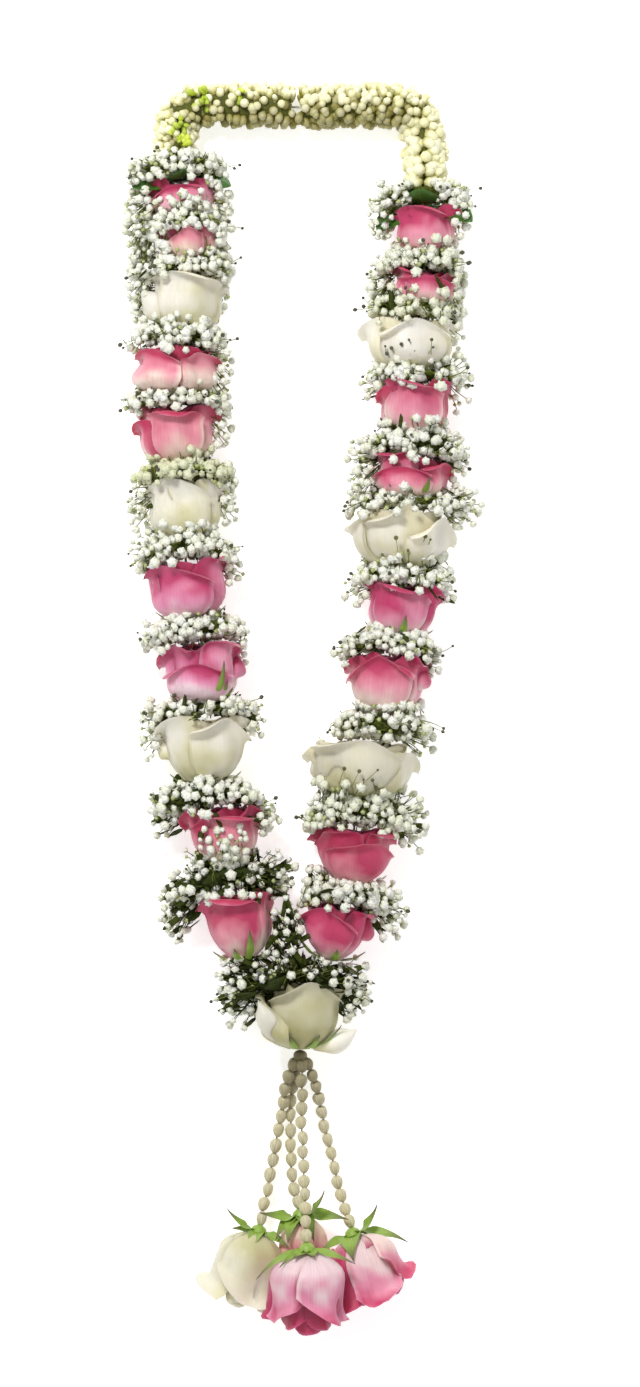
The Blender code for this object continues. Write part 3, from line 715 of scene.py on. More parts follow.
# The values in a petal's row: its middle and half its width in degrees; its height and belly as shares of
# the rose's; the roll of its rim in the middle and at the sides, its opening outwards and closing inwards,
# all in degrees; its overlap as a share; the slant of its rim and the sharpness of its tip; the wave of its
# rim in millimetres; and how much deeper its colour is than the rose's
PETAL_VALUES = 13
(P_ANGLE, P_HALF, P_HIGH, P_BELLY, P_ROLL, P_SIDE_ROLL, P_OPEN, P_CLOSE, P_LAP, P_SLANT, P_TIP, P_WAVE,
 P_DEEP) = range(PETAL_VALUES)
# The order of the values in a listed petal, and what the last ones are where they are left out
LISTED = (P_ANGLE, P_HALF, P_HIGH, P_BELLY, P_ROLL, P_OPEN, P_SLANT, P_TIP, P_DEEP, P_CLOSE)
LEFT_OUT = (0.0, 0.0, 0.0, 0.0, 6.0)
# How much wider the belly of each listed petal is than the one's before it, as a share of the rose's radius
BELLY_STEP = 0.025


def cup_share(height_share):
    """How wide a strung rose is at a share of its height, as a share of its radius: narrow at the hip."""
    return np.sin(np.clip(0.2 + 1.25 * height_share, 0, 1) * math.pi / 2)


def hidden_behind(p, across, radius):
    """How far each place across each petal lies behind a petal after it in the rows that is about as high,
    and how much closer to the axis that puts it: by BEHIND, and by as much as its own belly is wider."""
    angle = p[:, P_ANGLE, None, None] + across[:, None] * p[:, P_HALF, None, None]
    apart = np.abs((angle - p[:, P_ANGLE] + 180) % 360 - 180)
    behind = ease((p[:, P_HALF] - apart) / 20 + 0.5)
    as_high = ease((p[:, P_HIGH] - p[:, P_HIGH, None] + 0.20) / 0.09)
    hidden = behind * (as_high * np.triu(np.ones((len(p), len(p))), 1))[:, None]
    wider = np.maximum(p[:, P_BELLY, None] - p[:, P_BELLY], 0) * radius + BEHIND
    return hidden.max(axis=2)[..., None], (hidden * wider[:, None]).max(axis=2)[..., None]


def petal_sheets(place, rows, taper, hip, overlap, rng):
    """Curved sheets for a rose's petals, as (petals, across, along, xyz) points in the world, with how far
    along its petal each point is and how far it hides behind a later one.

    Up the middle of a petal the surface leans out by an angle that falls from 74 degrees at the hip, or less
    with more taper, to upright, closes in a little over the belly and rolls out at the rim, more at the
    sides. Its radius and height are the running sums of that angle's sine and cosine. Across, it follows a
    circle about the axis, with its edges tucked in. The rolled rim keeps its round section, and only the cup
    below it is widened to the belly. Soft folds run up the petal and waves run along its rim, both as sines
    of the place across. Where a petal hides behind a later one it rolls little and stands closer in."""
    p = rows[:, None, None, :].transpose(3, 0, 1, 2)
    u = np.linspace(-1, 1, ACROSS)[None, :, None]
    hidden, closer = hidden_behind(rows, u.ravel(), place["radius"])
    t = np.linspace(0, 1, LENGTHWAYS)[None, None, :]
    t = 1 - (1 - t) ** 1.2
    point = np.clip(1 - np.abs(u) * 1.6, 0, 1) ** 1.3 - 0.5 * np.abs(u)
    reach = 1 - 0.16 * np.abs(u) ** 2.4 + p[P_TIP] * point + p[P_SLANT] * u * 0.5
    v = t * reach
    rim = np.clip((t - RIM_STARTS) / (1 - RIM_STARTS), 0, 1)
    roll = p[P_ROLL] + (p[P_SIDE_ROLL] - p[P_ROLL]) * np.abs(u) ** 1.6
    phase = rng.uniform(0, math.tau, size=(len(rows), 1, 1))
    roll = roll * (0.75 + 0.35 * np.sin(3.3 * u + phase)) * (1 - 0.9 * hidden)
    lean = (
        (74 - 24 * taper) * (1 - ease(v / (0.66 + 0.34 * taper)))
        - p[P_CLOSE] * np.sin(math.pi * np.clip((v - 0.32) / 0.56, 0, 1))
        + p[P_OPEN] * ease((v - 0.2) / 0.5) * (1 - hidden)
        + roll * rim**1.3
    )
    lean = np.radians(lean)
    step = np.diff(v, axis=2, prepend=0)
    rise = np.cumsum(np.cos(lean) * step, axis=2)
    spread = np.cumsum(np.sin(lean) * step, axis=2)
    middle = slice(ACROSS // 2, ACROSS // 2 + 1)
    scale = p[P_HIGH] * place["height"] / rise[:, middle].max(axis=2, keepdims=True)
    lip = int((t < RIM_STARTS).sum()) - 1
    body = spread[:, middle, : lip + 1].max(axis=2, keepdims=True)
    widen = (p[P_BELLY] * place["radius"] - hip) / (body * scale)
    at_lip = spread[:, :, lip : lip + 1]
    radius = hip + scale * np.where(rim > 0, at_lip * widen + (spread - at_lip), spread * widen)
    radius = radius - (1.6 * p[P_LAP] - 0.5) * MM * np.abs(u) ** 4 * (1 - 0.75 * ease((t - 0.5) / 0.45))
    height = rise * scale
    ruffle = p[P_WAVE] * MM * np.sin(4.1 * u + phase) * ease((v - 0.35) / 0.6)
    fold = 1.8 * MM * np.sin(3.4 * u + 2 * phase) + 1.1 * MM * np.sin(6.0 * u + 5 * v + 3 * phase)
    fold = fold * (1 - u * u) ** 0.7
    radius = radius + (ruffle + fold * ease(v / 0.5)) * (1 - 0.8 * hidden)
    radius = radius + overlap * p[P_LAP] * u * ease(v / 0.25) - closer * ease((v - 0.1) / 0.4)
    height = height + 0.7 * ruffle * np.cos(1.7 * u + phase)
    width = p[P_HALF] * (0.80 + 0.20 * ease(v / 0.5)) * (1 - 0.16 * ease((v - 0.62) / 0.38) * np.abs(u))
    angle = np.radians(p[P_ANGLE] + u * width)
    x, y = radius * np.cos(angle), flattened(place, radius * np.sin(angle), radius)
    sheet = np.stack(np.broadcast_arrays(x, y, height), axis=-1)
    along = np.broadcast_to(v + 0.14 * np.abs(u) ** 2, x.shape)
    return out_of(place, sheet), along, hidden


def petals(place, rows, settings, depth, cast, taper, rng):
    """The petals of a rose as closed shells, with their tone and pattern coordinates.

    Side edges are painted nearer the foot's colour: painted highlight on pink, painted shade on white. Where
    another petal begins to cover it, it takes its inside colour as painted shade."""
    sheets, along, hidden = petal_sheets(place, rows, taper, settings.hip_radius, settings.overlap, rng)
    count = len(rows)
    u = np.linspace(0, 1, ACROSS)[None, :, None]
    deeper = rows[:, P_DEEP, None, None]
    tone = tones(
        along.shape,
        # Painted edge line: the side edges move towards the foot's colour, a highlight on pink petals and
        # shade on white ones
        along=np.clip(along - PAINTED_EDGE_LINE * ((u == 0) | (u == 1)), 0, 1),
        # Painted shade: a petal takes its inside colour where a later one covers it
        inside=ease(1.6 * hidden) * ease((along - 0.25) / 0.25),
        chance=np.clip(cast + rng.uniform(-0.12, 0.12, (count, 1, 1)), 0, 1),
        depth=np.clip(depth + deeper + rng.uniform(-0.07, 0.07, (count, 1, 1)), 0, 1),
    )
    shift = np.arange(count)[:, None, None] * 1.7
    uv = np.stack(np.broadcast_arrays(u + shift, along + shift), axis=-1)
    return shells(sheets, settings.petal_thickness, uv, tone)


def ring_of(count, first, half, high, belly, roll, side_roll, rng, closes, wave, opens=0, tip=0, deep=0):
    """Rows for a ring of petals that overlap like a spiral, each a little unlike the others."""
    rows = np.zeros((count, PETAL_VALUES))
    rows[:, P_ANGLE] = first + 360 / count * np.arange(count) + rng.uniform(-7, 7, count)
    for column, value, least, most in (
        (P_HALF, half, 0.92, 1.1), (P_HIGH, high, 0.93, 1.0), (P_BELLY, belly, 0.96, 1.0),
        (P_ROLL, roll, 0.5, 1.2), (P_SIDE_ROLL, side_roll, 0.6, 1.2), (P_SLANT, 1.0, -0.08, 0.08),
    ):
        rows[:, column] = value * rng.uniform(least, most, count)
    rows[:, [P_OPEN, P_CLOSE, P_LAP, P_TIP, P_WAVE, P_DEEP]] = opens, closes, 1.0, tip, wave, deep
    return rows


def listed_petals(listed, rng, wave=1.6, side_roll=12.0):
    """Rows for petals given one by one, each over the one before it and its belly BELLY_STEP wider."""
    rows = np.zeros((len(listed), PETAL_VALUES))
    rows[:, LISTED] = [(*row, *LEFT_OUT[len(row) - 5 :]) for row in listed]
    rows[:, P_BELLY] += BELLY_STEP * np.arange(len(listed))
    rows[:, P_SIDE_ROLL] = rows[:, P_ROLL] + side_roll
    rows[:, P_LAP] = 0.5
    rows[:, P_WAVE] = wave * rng.uniform(0.6, 1.2, len(listed))
    return rows


# The petals on a strung rose's underside, written as in STRUNG_LOOKS
UNDER_PETALS = ((205, 60, 0.95, 0.90, 70), (335, 60, 0.93, 0.91, 70), (270, 62, 0.9, 0.9, 90))


def strung_rows(front, rng):
    """A strung rose's petals: a tight heart, two rings about it, then the underside's and the front's."""
    first = rng.uniform(0, 120)
    heart = ring_of(3, first, 75, 0.92, 0.40, 10, 20, rng, closes=16, wave=0.4, deep=0.3)
    inner = ring_of(3, first + 70, 74, 0.99, 0.62, 40, 70, rng, closes=14, wave=0.8, deep=0.3)
    outer = ring_of(4, first + 35, 60, 1.00, 0.82, 70, 90, rng, closes=8, wave=1.6, tip=0.02, deep=0.22)
    return np.concatenate((heart, inner, outer, listed_petals(UNDER_PETALS, rng), listed_petals(front, rng)))


def hanging_rows(first, outermost, rng):
    """The petals of a tassel rose: longer ones in the mouth, then shorter outermost ones that flare."""
    heart = ring_of(3, first, 80, 0.96, 0.36, 20, 30, rng, closes=10, wave=0.8, deep=0.8)
    inner = ring_of(3, first + 40, 78, 1.00, 0.62, 40, 40, rng, closes=6, wave=1.6, deep=0.8)
    flared = {"opens": 2, "tip": 0.02, "deep": 0.7}
    outer = ring_of(4, first + 5, 62, 0.97, 0.76, 60, 60, rng, closes=2, wave=2.4, **flared)
    return np.concatenate((heart, inner, outer, listed_petals(outermost, rng, 3.4, 40.0)))


# Each strung rose: depth of its pink or cream, its cast from peach to violet, its taper from cup to cone,
# and its front petals, inner ones first. A petal is the angle of its middle (0 faces the left, 90 the sky,
# 180 the right) and half its width in degrees, its height and belly as shares of the rose's, and the roll of
# its rim in degrees. Where they aren't left out, these follow: its opening outwards in degrees, the slant of
# its rim, the sharpness of its tip, how much deeper its colour is, and its closing inwards in degrees
STRUNG_LOOKS = {
    "rose_left_01_pink": (0.62, 0.55, 0, (
        (150, 48, 0.95, 0.9, 130), (20, 50, 0.97, 0.92, 150, 0, 0.1), (82, 56, 0.84, 0.93, 150, 0, 0.1),
    )),
    "rose_left_02_pink": (0.24, 0.3, 0.8, (
        (30, 44, 0.98, 0.88, 120, 0, 0.1), (140, 46, 0.96, 0.9, 120, 0, -0.1),
        (88, 36, 0.95, 0.92, 90, 0, 0.1, 0.08),
    )),
    "rose_left_03_white": (0.45, 0.80, 0.1, (
        (25, 45, 0.9, 0.9, 120), (150, 45, 0.97, 0.92, 140), (96, 64, 0.94, 0.93, 120, 0, -0.08),
    )),
    "rose_left_04_pink": (0.42, 0.35, 0.1, (
        (100, 56, 0.99, 0.86, 130, 0, 0, 0, 0.15), (140, 44, 0.86, 1, 110, 2, 0, 0, -0.1, 16),
        (44, 56, 0.88, 1.04, 110, 2, -0.06, 0, 0, 22),
    )),
    "rose_left_05_pink": (0.52, 0.35, 0.2, (
        (150, 44, 0.95, 0.92, 90, 2), (8, 46, 0.68, 1.03, 165, 4, 0.06, 0, 0.15),
        (88, 50, 0.86, 0.92, 150, 0, -0.1),
    )),
    "rose_left_06_white": (0.5, 0.66, 0.1, (
        (20, 50, 0.9, 0.9, 60, 0, 0.1), (146, 50, 0.97, 0.93, 70, 1, -0.1),
        (76, 62, 1, 0.92, 60, 0, -0.14, 0, 0, 12),
    )),
    "rose_left_07_pink": (0.78, 0.85, 0.3, (
        (146, 50, 0.99, 0.92, 120, 1, 0.1), (66, 66, 0.92, 0.94, 100, 0, -0.2, 0, 0, 14),
    )),
    "rose_left_08_pink": (0.52, 0.95, 0.3, (
        (40, 52, 0.98, 0.88, 110, 0, 0.1), (135, 50, 0.96, 0.88, 130, 0, -0.1),
        (76, 60, 0.64, 0.96, 160, 0, -0.08),
    )),
    "rose_left_09_white": (0.5, 0.72, 0.6, (
        (150, 48, 0.97, 0.92, 110, 2), (40, 54, 0.92, 0.93, 130, 2, 0.12),
        (112, 44, 0.93, 0.95, 110, 0, -0.1, 0.03),
    )),
    "rose_left_10_pink": (0.49, 0.45, 0.4, (
        (30, 48, 0.99, 0.9, 150, 0, 0.1), (150, 48, 0.98, 0.9, 150, 0, -0.1),
        (92, 60, 0.82, 0.94, 140, 0, 0.06),
    )),
    "rose_left_11_pink": (0.98, 0.40, 0.7, (
        (146, 46, 0.92, 0.92, 60, 1, -0.08, 0, -0.5), (66, 60, 0.92, 0.94, 150, 0, 0, 0, 0, 10),
    )),
    "rose_right_01_pink": (0.80, 0.45, 0.1, (
        (20, 50, 0.92, 0.88, 60), (155, 44, 0.96, 0.9, 150),
        (84, 66, 0.96, 0.94, 130, 0, -0.14, 0, 0, 14),
    )),
    "rose_right_02_pink": (0.52, 0.45, 0, (
        (30, 52, 0.99, 0.88, 120), (145, 50, 0.97, 0.89, 120), (95, 62, 0.8, 0.96, 60, 4),
    )),
    "rose_right_03_white": (0.5, 1, 0.2, (
        (155, 42, 0.93, 0.95, 130, 2), (32, 46, 0.92, 0.98, 130, 4, 0.14),
        (98, 58, 0.94, 0.92, 140, 0, -0.12, 0.03),
    )),
    "rose_right_04_pink": (0.58, 0.4, 0.2, (
        (156, 46, 0.95, 0.94, 90, 3, -0.1, 0, 0.25), (36, 40, 0.96, 0.9, 130, 0, 0.1),
        (84, 60, 0.96, 0.92, 120, 0, -0.22, 0, 0, 12),
    )),
    "rose_right_05_pink": (0.60, 0.45, 0.2, (
        (50, 54, 0.99, 0.86, 130, 0, 0.1), (146, 46, 0.9, 0.94, 140, 2, -0.12),
        (70, 56, 0.72, 0.93, 130, 0, 0.16),
    )),
    "rose_right_06_white": (0.5, 0.72, 0.5, (
        (26, 44, 0.8, 0.98, 130, 4, 0.1, 0.08), (88, 54, 0.98, 0.88, 120, 0, -0.06, 0.05),
        (142, 48, 0.86, 0.95, 130, 6, -0.2, 0.12),
    )),
    "rose_right_07_pink": (0.62, 0.75, 0.4, (
        (28, 46, 0.96, 0.92, 110, 0, 0.1), (150, 44, 0.92, 0.98, 140, 3, -0.14, 0, 0.2),
        (84, 56, 0.92, 0.92, 140, 0, -0.16),
    )),
    "rose_right_08_pink": (0.58, 0.55, 0.5, (
        (20, 44, 0.88, 0.96, 165, 2), (130, 46, 0.97, 0.9, 120, 0, 0, 0.03),
        (74, 56, 0.95, 0.93, 165, 0, 0.16, 0.05),
    )),
    "rose_right_09_white": (0.5, 0.5, 0.6, (
        (150, 46, 0.84, 0.99, 120, 4, -0.1, 0.04), (24, 44, 0.9, 0.9, 120, 2),
        (74, 64, 0.98, 0.92, 100, 4, -0.1),
    )),
    "rose_right_10_pink": (0.80, 0.35, 1, (
        (20, 44, 0.96, 0.92, 150, 2, 0.1), (155, 44, 0.94, 0.92, 150, 2, -0.1),
        (60, 50, 0.9, 0.93, 120, 0, 0.12), (102, 64, 0.74, 0.97, 90, 4, -0.06, 0.05),
    )),
    "rose_right_11_pink": (0.84, 0.45, 0.9, (
        (150, 46, 0.9, 0.92, 140, 2, 0, 0.05), (66, 60, 0.88, 0.94, 130, 0, -0.1, 0.03),
    )),
    "rose_tip_white": (0.30, 0.02, 0.35, (
        (150, 44, 0.88, 0.9, 60), (96, 58, 0.97, 0.93, 90, 0, 0, 0.03),
        (38, 36, 0.72, 0.97, 50, 2, -0.25, 0.16),
    )),
}
# Each tassel rose: depth, cast, where its inner petals start, and its outermost petals, written as above
HANGING_LOOKS = {
    "tassel_rose_left_white": (0.5, 0.52, 75, (
        (205, 56, 0.9, 0.86, 60, 2, 0, 0, 0.2), (320, 56, 0.9, 0.86, 60, 2, 0, 0, 0.2),
        (30, 46, 0.98, 0.86, 50, 1, 0, 0, 0.1), (172, 40, 0.84, 0.94, 50, 1, 0.1, 0.1),
        (142, 48, 0.96, 0.84, 90, 4, 0.2, 0.12, 0.1), (90, 54, 0.93, 0.88, 60, 1, -0.36, 0.04, -0.1),
    )),
    "tassel_rose_right_pink": (0.50, 0.6, 60, (
        (250, 56, 0.88, 0.86, 60, 2, 0, 0, 0.4), (335, 56, 0.88, 0.86, 60, 2, 0, 0, 0.4),
        (138, 52, 1, 0.9, 60, 1, 0.1, 0, 0.45), (30, 44, 0.94, 0.86, 90, 3, 0.1, 0.05, 0.3),
        (70, 47, 1.02, 0.87, 90, 2, 0.1, 0.05, -0.4), (16, 46, 0.8, 0.92, 90, 4, -0.2, 0.1),
    )),
    "tassel_rose_back_pink": (0.3, 0, 20, (
        (40, 60, 0.9, 0.9, 60, 2, 0, 0, 0.1), (150, 60, 0.9, 0.9, 60, 2, 0, 0, 0.1),
    )),
    "tassel_rose_front_pink": (0.55, 0.75, 30, (
        (215, 50, 0.84, 0.84, 60, 2, 0, 0, 0.4), (325, 50, 0.84, 0.84, 60, 2, 0, 0, 0.4),
        (176, 36, 0.84, 0.88, 30, 0, 0.1, 0, 0.5), (6, 36, 0.9, 0.9, 30, 0, -0.1, 0, 0.5),
        (128, 50, 0.74, 0.86, 50, 0, 0.42, 0, -0.2), (52, 52, 0.78, 0.94, 50, 0, -0.42, 0, -0.2),
    )),
}


# Petals that have come loose and stand out of a rose: the middle line's start, bend and end, as x, y and
# height; the direction across it; half the width, and how far the edges curl down, all in millimetres; and
# how much deeper and how much cooler than the rose they are, where it isn't as deep and as cool
LOOSE_PETALS = {
    "rose_left_03_white": (((-92, 268, 36), (-104, 272, 42), (-113, 291, 30), (0.5, 0.8, 0.45), 9, 4),),
    "rose_left_05_pink": (((-96, 184, 34), (-106, 192, 42), (-112, 212, 30), (0.75, 0.5, 0.45), 9, 5),),
    "rose_left_08_pink": (((-50, 14, 34), (-42, 20, 44), (-42, 36, 34), (0.9, 0.1, -0.4), 8, 6),),
    "rose_left_09_white": (((-88, -38, 32), (-97, -38, 38), (-98, -22, 28), (0.8, 0.4, 0.45), 8, 6),),
    "rose_right_08_pink": (((78, 8, 34), (88, 12, 42), (89, 28, 34), (0.9, -0.2, -0.4), 8, 6),),
    "rose_right_09_white": (((22, -50, 34), (10, -52, 40), (8, -34, 32), (0.8, 0.4, 0.45), 8, 6),),
    "rose_right_11_pink": (((36, -166, 36), (47, -166, 42), (48, -146, 34), (0.9, 0.1, -0.4), 9, 6),),
    "rose_tip_white": (
        ((9, -239, 32), (20, -243, 44), (42, -228, 34), (-0.35, 0.93, 0.15), 8.5, 7, 0.45, 0.9),
        ((-6, -238, 38), (-21, -233, 55), (-30, -207, 52), (0.8, 0.5, 0.3), 8, 4, 0.4, 0.6),
    ),
}


def over_sheet(u, v):
    """Pattern coordinates from the places across a sheet, from -1 to 1, and along it, from 0 to 1."""
    return np.stack(np.broadcast_arrays(u * 0.5 + 0.5, v), axis=-1)


def loose_petals(listed, settings, depth, cast, rng):
    """Petals along their own curved middle lines, widest near the end, with both edges curled down.

    A point's height above the plane of its petal falls with the square of its place across and, near the
    end, with the square of its place along."""
    made = []
    u = np.linspace(-1, 1, ACROSS)[None, :, None]
    v = np.linspace(0, 1, LENGTHWAYS)[None, None, :]
    for start, bend, end, across, half, curl, *casts in listed:
        deeper, cooler = casts or (0.0, 0.0)
        middle = curved_paths(*(np.array([point], float) * MM for point in (start, bend, end)), LENGTHWAYS)
        ahead = unit(np.gradient(middle, axis=1))[:, None]
        across = np.array(across, float)
        across = unit(across - (ahead @ across)[..., None] * ahead)
        facing = np.cross(ahead, across)
        facing = facing * np.sign(facing[..., 2:])
        wave = 1 + 0.07 * np.sin(5 * u + rng.uniform(0, math.tau))
        round_end = np.sqrt(1 - 0.96 * np.clip((v - 0.55) / 0.45, 0, 1) ** 4)
        wide = half * MM * (0.35 + 0.65 * ease(v / 0.6)) * round_end
        drop = curl * MM * (u**2 * ease(v / 0.4) + 0.9 * np.clip((v - 0.7) / 0.3, 0, 1) ** 2)
        nicks = 1.6 * MM * np.sin(4 * u + 1) * ease((v - 0.6) / 0.4) - 2.5 * MM * u * u * v
        sheet = middle[:, None] + across * (u * wide * wave)[..., None] - facing * drop[..., None]
        sheet = sheet + ahead * nicks[..., None]
        along = np.clip(v + 0.14 * u**2, 0, 1)
        tone = tones(sheet.shape[:3], along, 0.0, min(cast + cooler, 1.0), depth + deeper)
        uv = over_sheet(u, v)
        if np.cross(across, ahead)[..., 2].mean() < 0:
            sheet, tone, uv = sheet[:, ::-1], tone[:, ::-1], uv[:, ::-1]
        made.append(shells(sheet, settings.petal_thickness, uv, tone))
    return made


# Sepals that stand up the front of a strung rose's petals, and those under every one: angle in degrees,
# length in millimetres
STANDING_SEPALS = {
    "rose_left_08_pink": ((116, 31), (130, 17), (142, 12)),
    "rose_left_11_pink": ((104, 22), (70, 10)),
    "rose_right_05_pink": ((118, 17), (60, 9)),
    "rose_right_07_pink": ((100, 17), (70, 8)),
    "rose_right_11_pink": ((30, 12), (100, 9)),
    "rose_tip_white": ((30, 16), (75, 10), (125, 11), (160, 17)),
}
LOWER_SEPALS = ((200, 9), (270, 9), (340, 9))
SEPAL_THICKNESS = 0.7 * MM


def base_sepals(place, listed, rng, finish):
    """Pointed sepals against the foot of a strung rose's petals: the listed ones, and short ones below.

    Each starts at the hip, stands 6 mm off the petals by a third of its length, and leans 2 mm further out.
    Its half width is a sine of the way along, and its sides turn in with the square of the place across."""
    angle, length = np.array((*listed, *LOWER_SEPALS), float)[:, None, None, :].transpose(3, 0, 1, 2)
    u = np.linspace(-1, 1, 5)[None, :, None]
    v = np.linspace(0, 1, 10)[None, None, :]
    up = 0.5 * MM + length * MM * v
    cup = place["radius"] * cup_share(up / place["height"])
    outward = cup + (0.6 + 5.2 * ease(v / 0.35) + 2.0 * v) * MM - 0.5 * MM * u * u
    half = 3.4 * MM * np.sin(math.pi * np.clip(0.2 + 0.8 * v, 0, 1)) ** 0.8 * (1 - 0.5 * v)
    turn = np.radians(angle) + u * half / outward + 0.1 * v * np.sin(angle)
    y = flattened(place, outward * np.sin(turn), outward)
    sheet = np.stack(np.broadcast_arrays(outward * np.cos(turn), y, up), axis=-1)
    tone = tones(sheet.shape[:3], v, 0.0, rng.uniform(size=(len(sheet), 1, 1)))
    return shells(out_of(place, sheet), SEPAL_THICKNESS, over_sheet(u, v), tone, finish)


# Baby's breath

# Places tried for each floret, from which those furthest apart are taken
SURFACE_TRIES = 9
# A floret whose chance is over this is a small green bud
BUD_SHARE = 0.86
# Florets keep this far from the thread, from a rose's cup and, in a clump that hangs out, from the cup too
THREAD_CLEAR, CUP_CLEAR, TUFT_CLEAR = 13 * MM, 1.0 * MM, 1.5 * MM
# How thick the florets must stand at a place for one to grow there, by the waves of clumps
BARE_BELOW = -0.42
# How far back along the rose the stem of a floret starts that lies on petals
STEM_BACK = 8 * MM
# The corners of the core of greens round the thread and round its section, and its inner radius
CORE_ROUND, CORE_SECTION, CORE_INNER = 24, 12, 3.2 * MM


def floret_form():
    """A ruffled double floret, one unit in radius: a ball whose radius swells and sinks five times round it.

    Its lobes stand half a lobe further round from one row to the next, as petals in layers do."""
    profile = [(0.0, -0.95), (0.72, -0.50), (1.0, 0.15), (0.66, 0.68), (0.0, 0.88)]
    sides, rows = 10, len(profile) - 2
    co, quads, tris, along, turn = round_form(sides, profile)
    sheath = slice(sides * rows)
    lobes = np.cos(5 * turn[sheath] + math.pi * np.repeat(np.arange(rows), sides))
    co[sheath, :2] *= (1 + 0.14 * lobes)[:, None]
    co[sheath, 2] += 0.09 * lobes
    return co, quads, tris, along, turn


def bead_form():
    """A tiny unopened bud, one unit in radius."""
    return round_form(6, [(0.0, -1.0), (0.75, -0.5), (0.9, 0.25), (0.4, 0.9), (0.0, 1.05)])


def spread_out(candidates, count, rng):
    """The numbers of points chosen one after another, each far from all those before it."""
    chosen = [int(rng.integers(len(candidates)))]
    gap = np.linalg.norm(candidates - candidates[chosen[0]], axis=1)
    for _ in range(count - 1):
        pick = int(np.argmax(gap * rng.uniform(0.75, 1.0, len(gap))))
        chosen.append(pick)
        gap = np.minimum(gap, np.linalg.norm(candidates - candidates[pick], axis=1))
    return np.array(chosen)


def on_surface(triangles, count, rng):
    """Points spread evenly by area over triangles."""
    a, b, c = triangles[:, 0], triangles[:, 1], triangles[:, 2]
    area = np.linalg.norm(np.cross(b - a, c - a), axis=1)
    pick = rng.choice(len(triangles), size=count, p=area / area.sum())
    s, t = rng.uniform(size=(2, count, 1))
    s, t = np.where(s + t > 1, 1 - s, s), np.where(s + t > 1, 1 - t, t)
    return a[pick] + s * (b - a)[pick] + t * (c - a)[pick]


def clear_of(place, points, margin):
    """Which points are outside a rose's cup by a margin."""
    local = into(place, points)
    wide = np.hypot(local[:, 0], local[:, 1])
    cup = place["radius"] * cup_share(np.clip(local[:, 2] / place["height"], 0, 1)) + margin
    return (local[:, 2] < -margin) | (local[:, 2] > place["height"] + margin) | (wide > cup)


def ring_core(place, points, out, dark, rng, finish):
    """The greens inside a ring, darkened as painted shade by the ring's "dark" share: an oval band about the
    thread, out to a share of the solid's reach.

    Its section is an ellipse. At each angle round the thread its reach and thickness follow the solid's
    points that lie within 38 degrees of it."""
    local = into(place, points)
    angle, wide = np.arctan2(local[:, 1], local[:, 0]), np.hypot(local[:, 0], local[:, 1])
    turn = np.arange(CORE_ROUND) * math.tau / CORE_ROUND
    near = np.cos(angle[:, None] - turn) > math.cos(math.radians(38))
    reach = np.where(near, wide[:, None], 0).max(axis=0)
    far = near & (wide[:, None] > 0.45 * reach)
    low = np.where(far, local[:, 2:], 1).min(axis=0)
    high = np.where(far, local[:, 2:], -1).max(axis=0)
    section = np.arange(CORE_SECTION) * math.tau / CORE_SECTION
    half = (out * reach - CORE_INNER)[:, None] / 2
    uneven = 1 + rng.uniform(-0.2, 0.12, (CORE_ROUND, CORE_SECTION))
    radius = (CORE_INNER + half * (1 + np.cos(section))) * uneven
    along = ((low + high) / 2)[:, None] + 0.28 * (high - low)[:, None] * np.sin(section)
    co = round_axis(place, radius, turn[:, None], along).reshape(-1, 3)
    quads = grid_quads(CORE_ROUND + 1, CORE_SECTION, closed=True) % len(co)
    # Painted shade: the core takes the shade colour, half of it and more in a darker ring
    return patch(co, quads[:, ::-1], None, None, tones(len(co), depth=0.5 + 0.5 * dark), finish)


def on_petals(place, turn, low, high, lift, rng):
    """Places against the outside of a rose's petals between two heights, and the directions out of them."""
    height = rng.uniform(low, high, len(turn))
    wide = place["radius"] * cup_share(height / place["height"]) + lift
    outward = np.stack((np.cos(turn), np.sin(turn), np.zeros(len(turn))), axis=1)
    return round_axis(place, wide, turn, height), outward @ place["turn"].T


def heaped(rose, turn, low, high, way, rng):
    """Florets 2 to 6 mm off a rose's petals, on stems from further up it, or down it where way is -1."""
    spots, outward = on_petals(rose, turn, low, high, rng.uniform(2.0, 6.0, len(turn)) * MM, rng)
    return spots, outward, spots + way * rose["axis"] * STEM_BACK - outward * 2 * MM


def clumps(points, rng):
    """How thick the florets stand at each point, from -1 to 1: the mean of three waves of 10 to 30 mm."""
    waves = rng.normal(scale=1 / (4.2 * MM), size=(3, 3))
    return np.sin(points @ waves.T + rng.uniform(0, math.tau, 3)).mean(axis=1)


def ring_florets(name, place, centre, roses, look, settings, rng):
    """Places over the ring's solid, clear of the roses, and from them the florets, the directions that they
    face and the feet of their stems."""
    count = int(settings.florets * look["share"])
    tries = on_surface(solid_triangles(name), count * SURFACE_TRIES, rng)
    local = into(place, tries)
    keep = np.hypot(local[:, 0], local[:, 1]) > THREAD_CLEAR
    for rose in roses:
        keep &= clear_of(rose, tries, CUP_CLEAR)
    tries = tries[keep]
    spots = tries[spread_out(tries, count, rng)]
    spots = spots[clumps(spots, rng) > BARE_BELOW]
    local = into(place, spots)
    spots = spots[np.abs(np.degrees(np.arctan2(local[:, 1], local[:, 0])) - 90) >= look["parting"]]
    count = len(spots)
    away = spots - centre
    on_axis = (away @ place["axis"])[:, None] * place["axis"]
    outward = unit(unit(away - on_axis) + 1.3 * on_axis / np.linalg.norm(away, axis=1, keepdims=True))
    spots = spots + outward * rng.uniform(-5.5, 1.8, (count, 1)) * MM
    feet = centre + 0.45 * (spots - centre) - place["axis"] * rng.uniform(-2, 2, (count, 1)) * MM
    return tries, (spots, outward, feet)


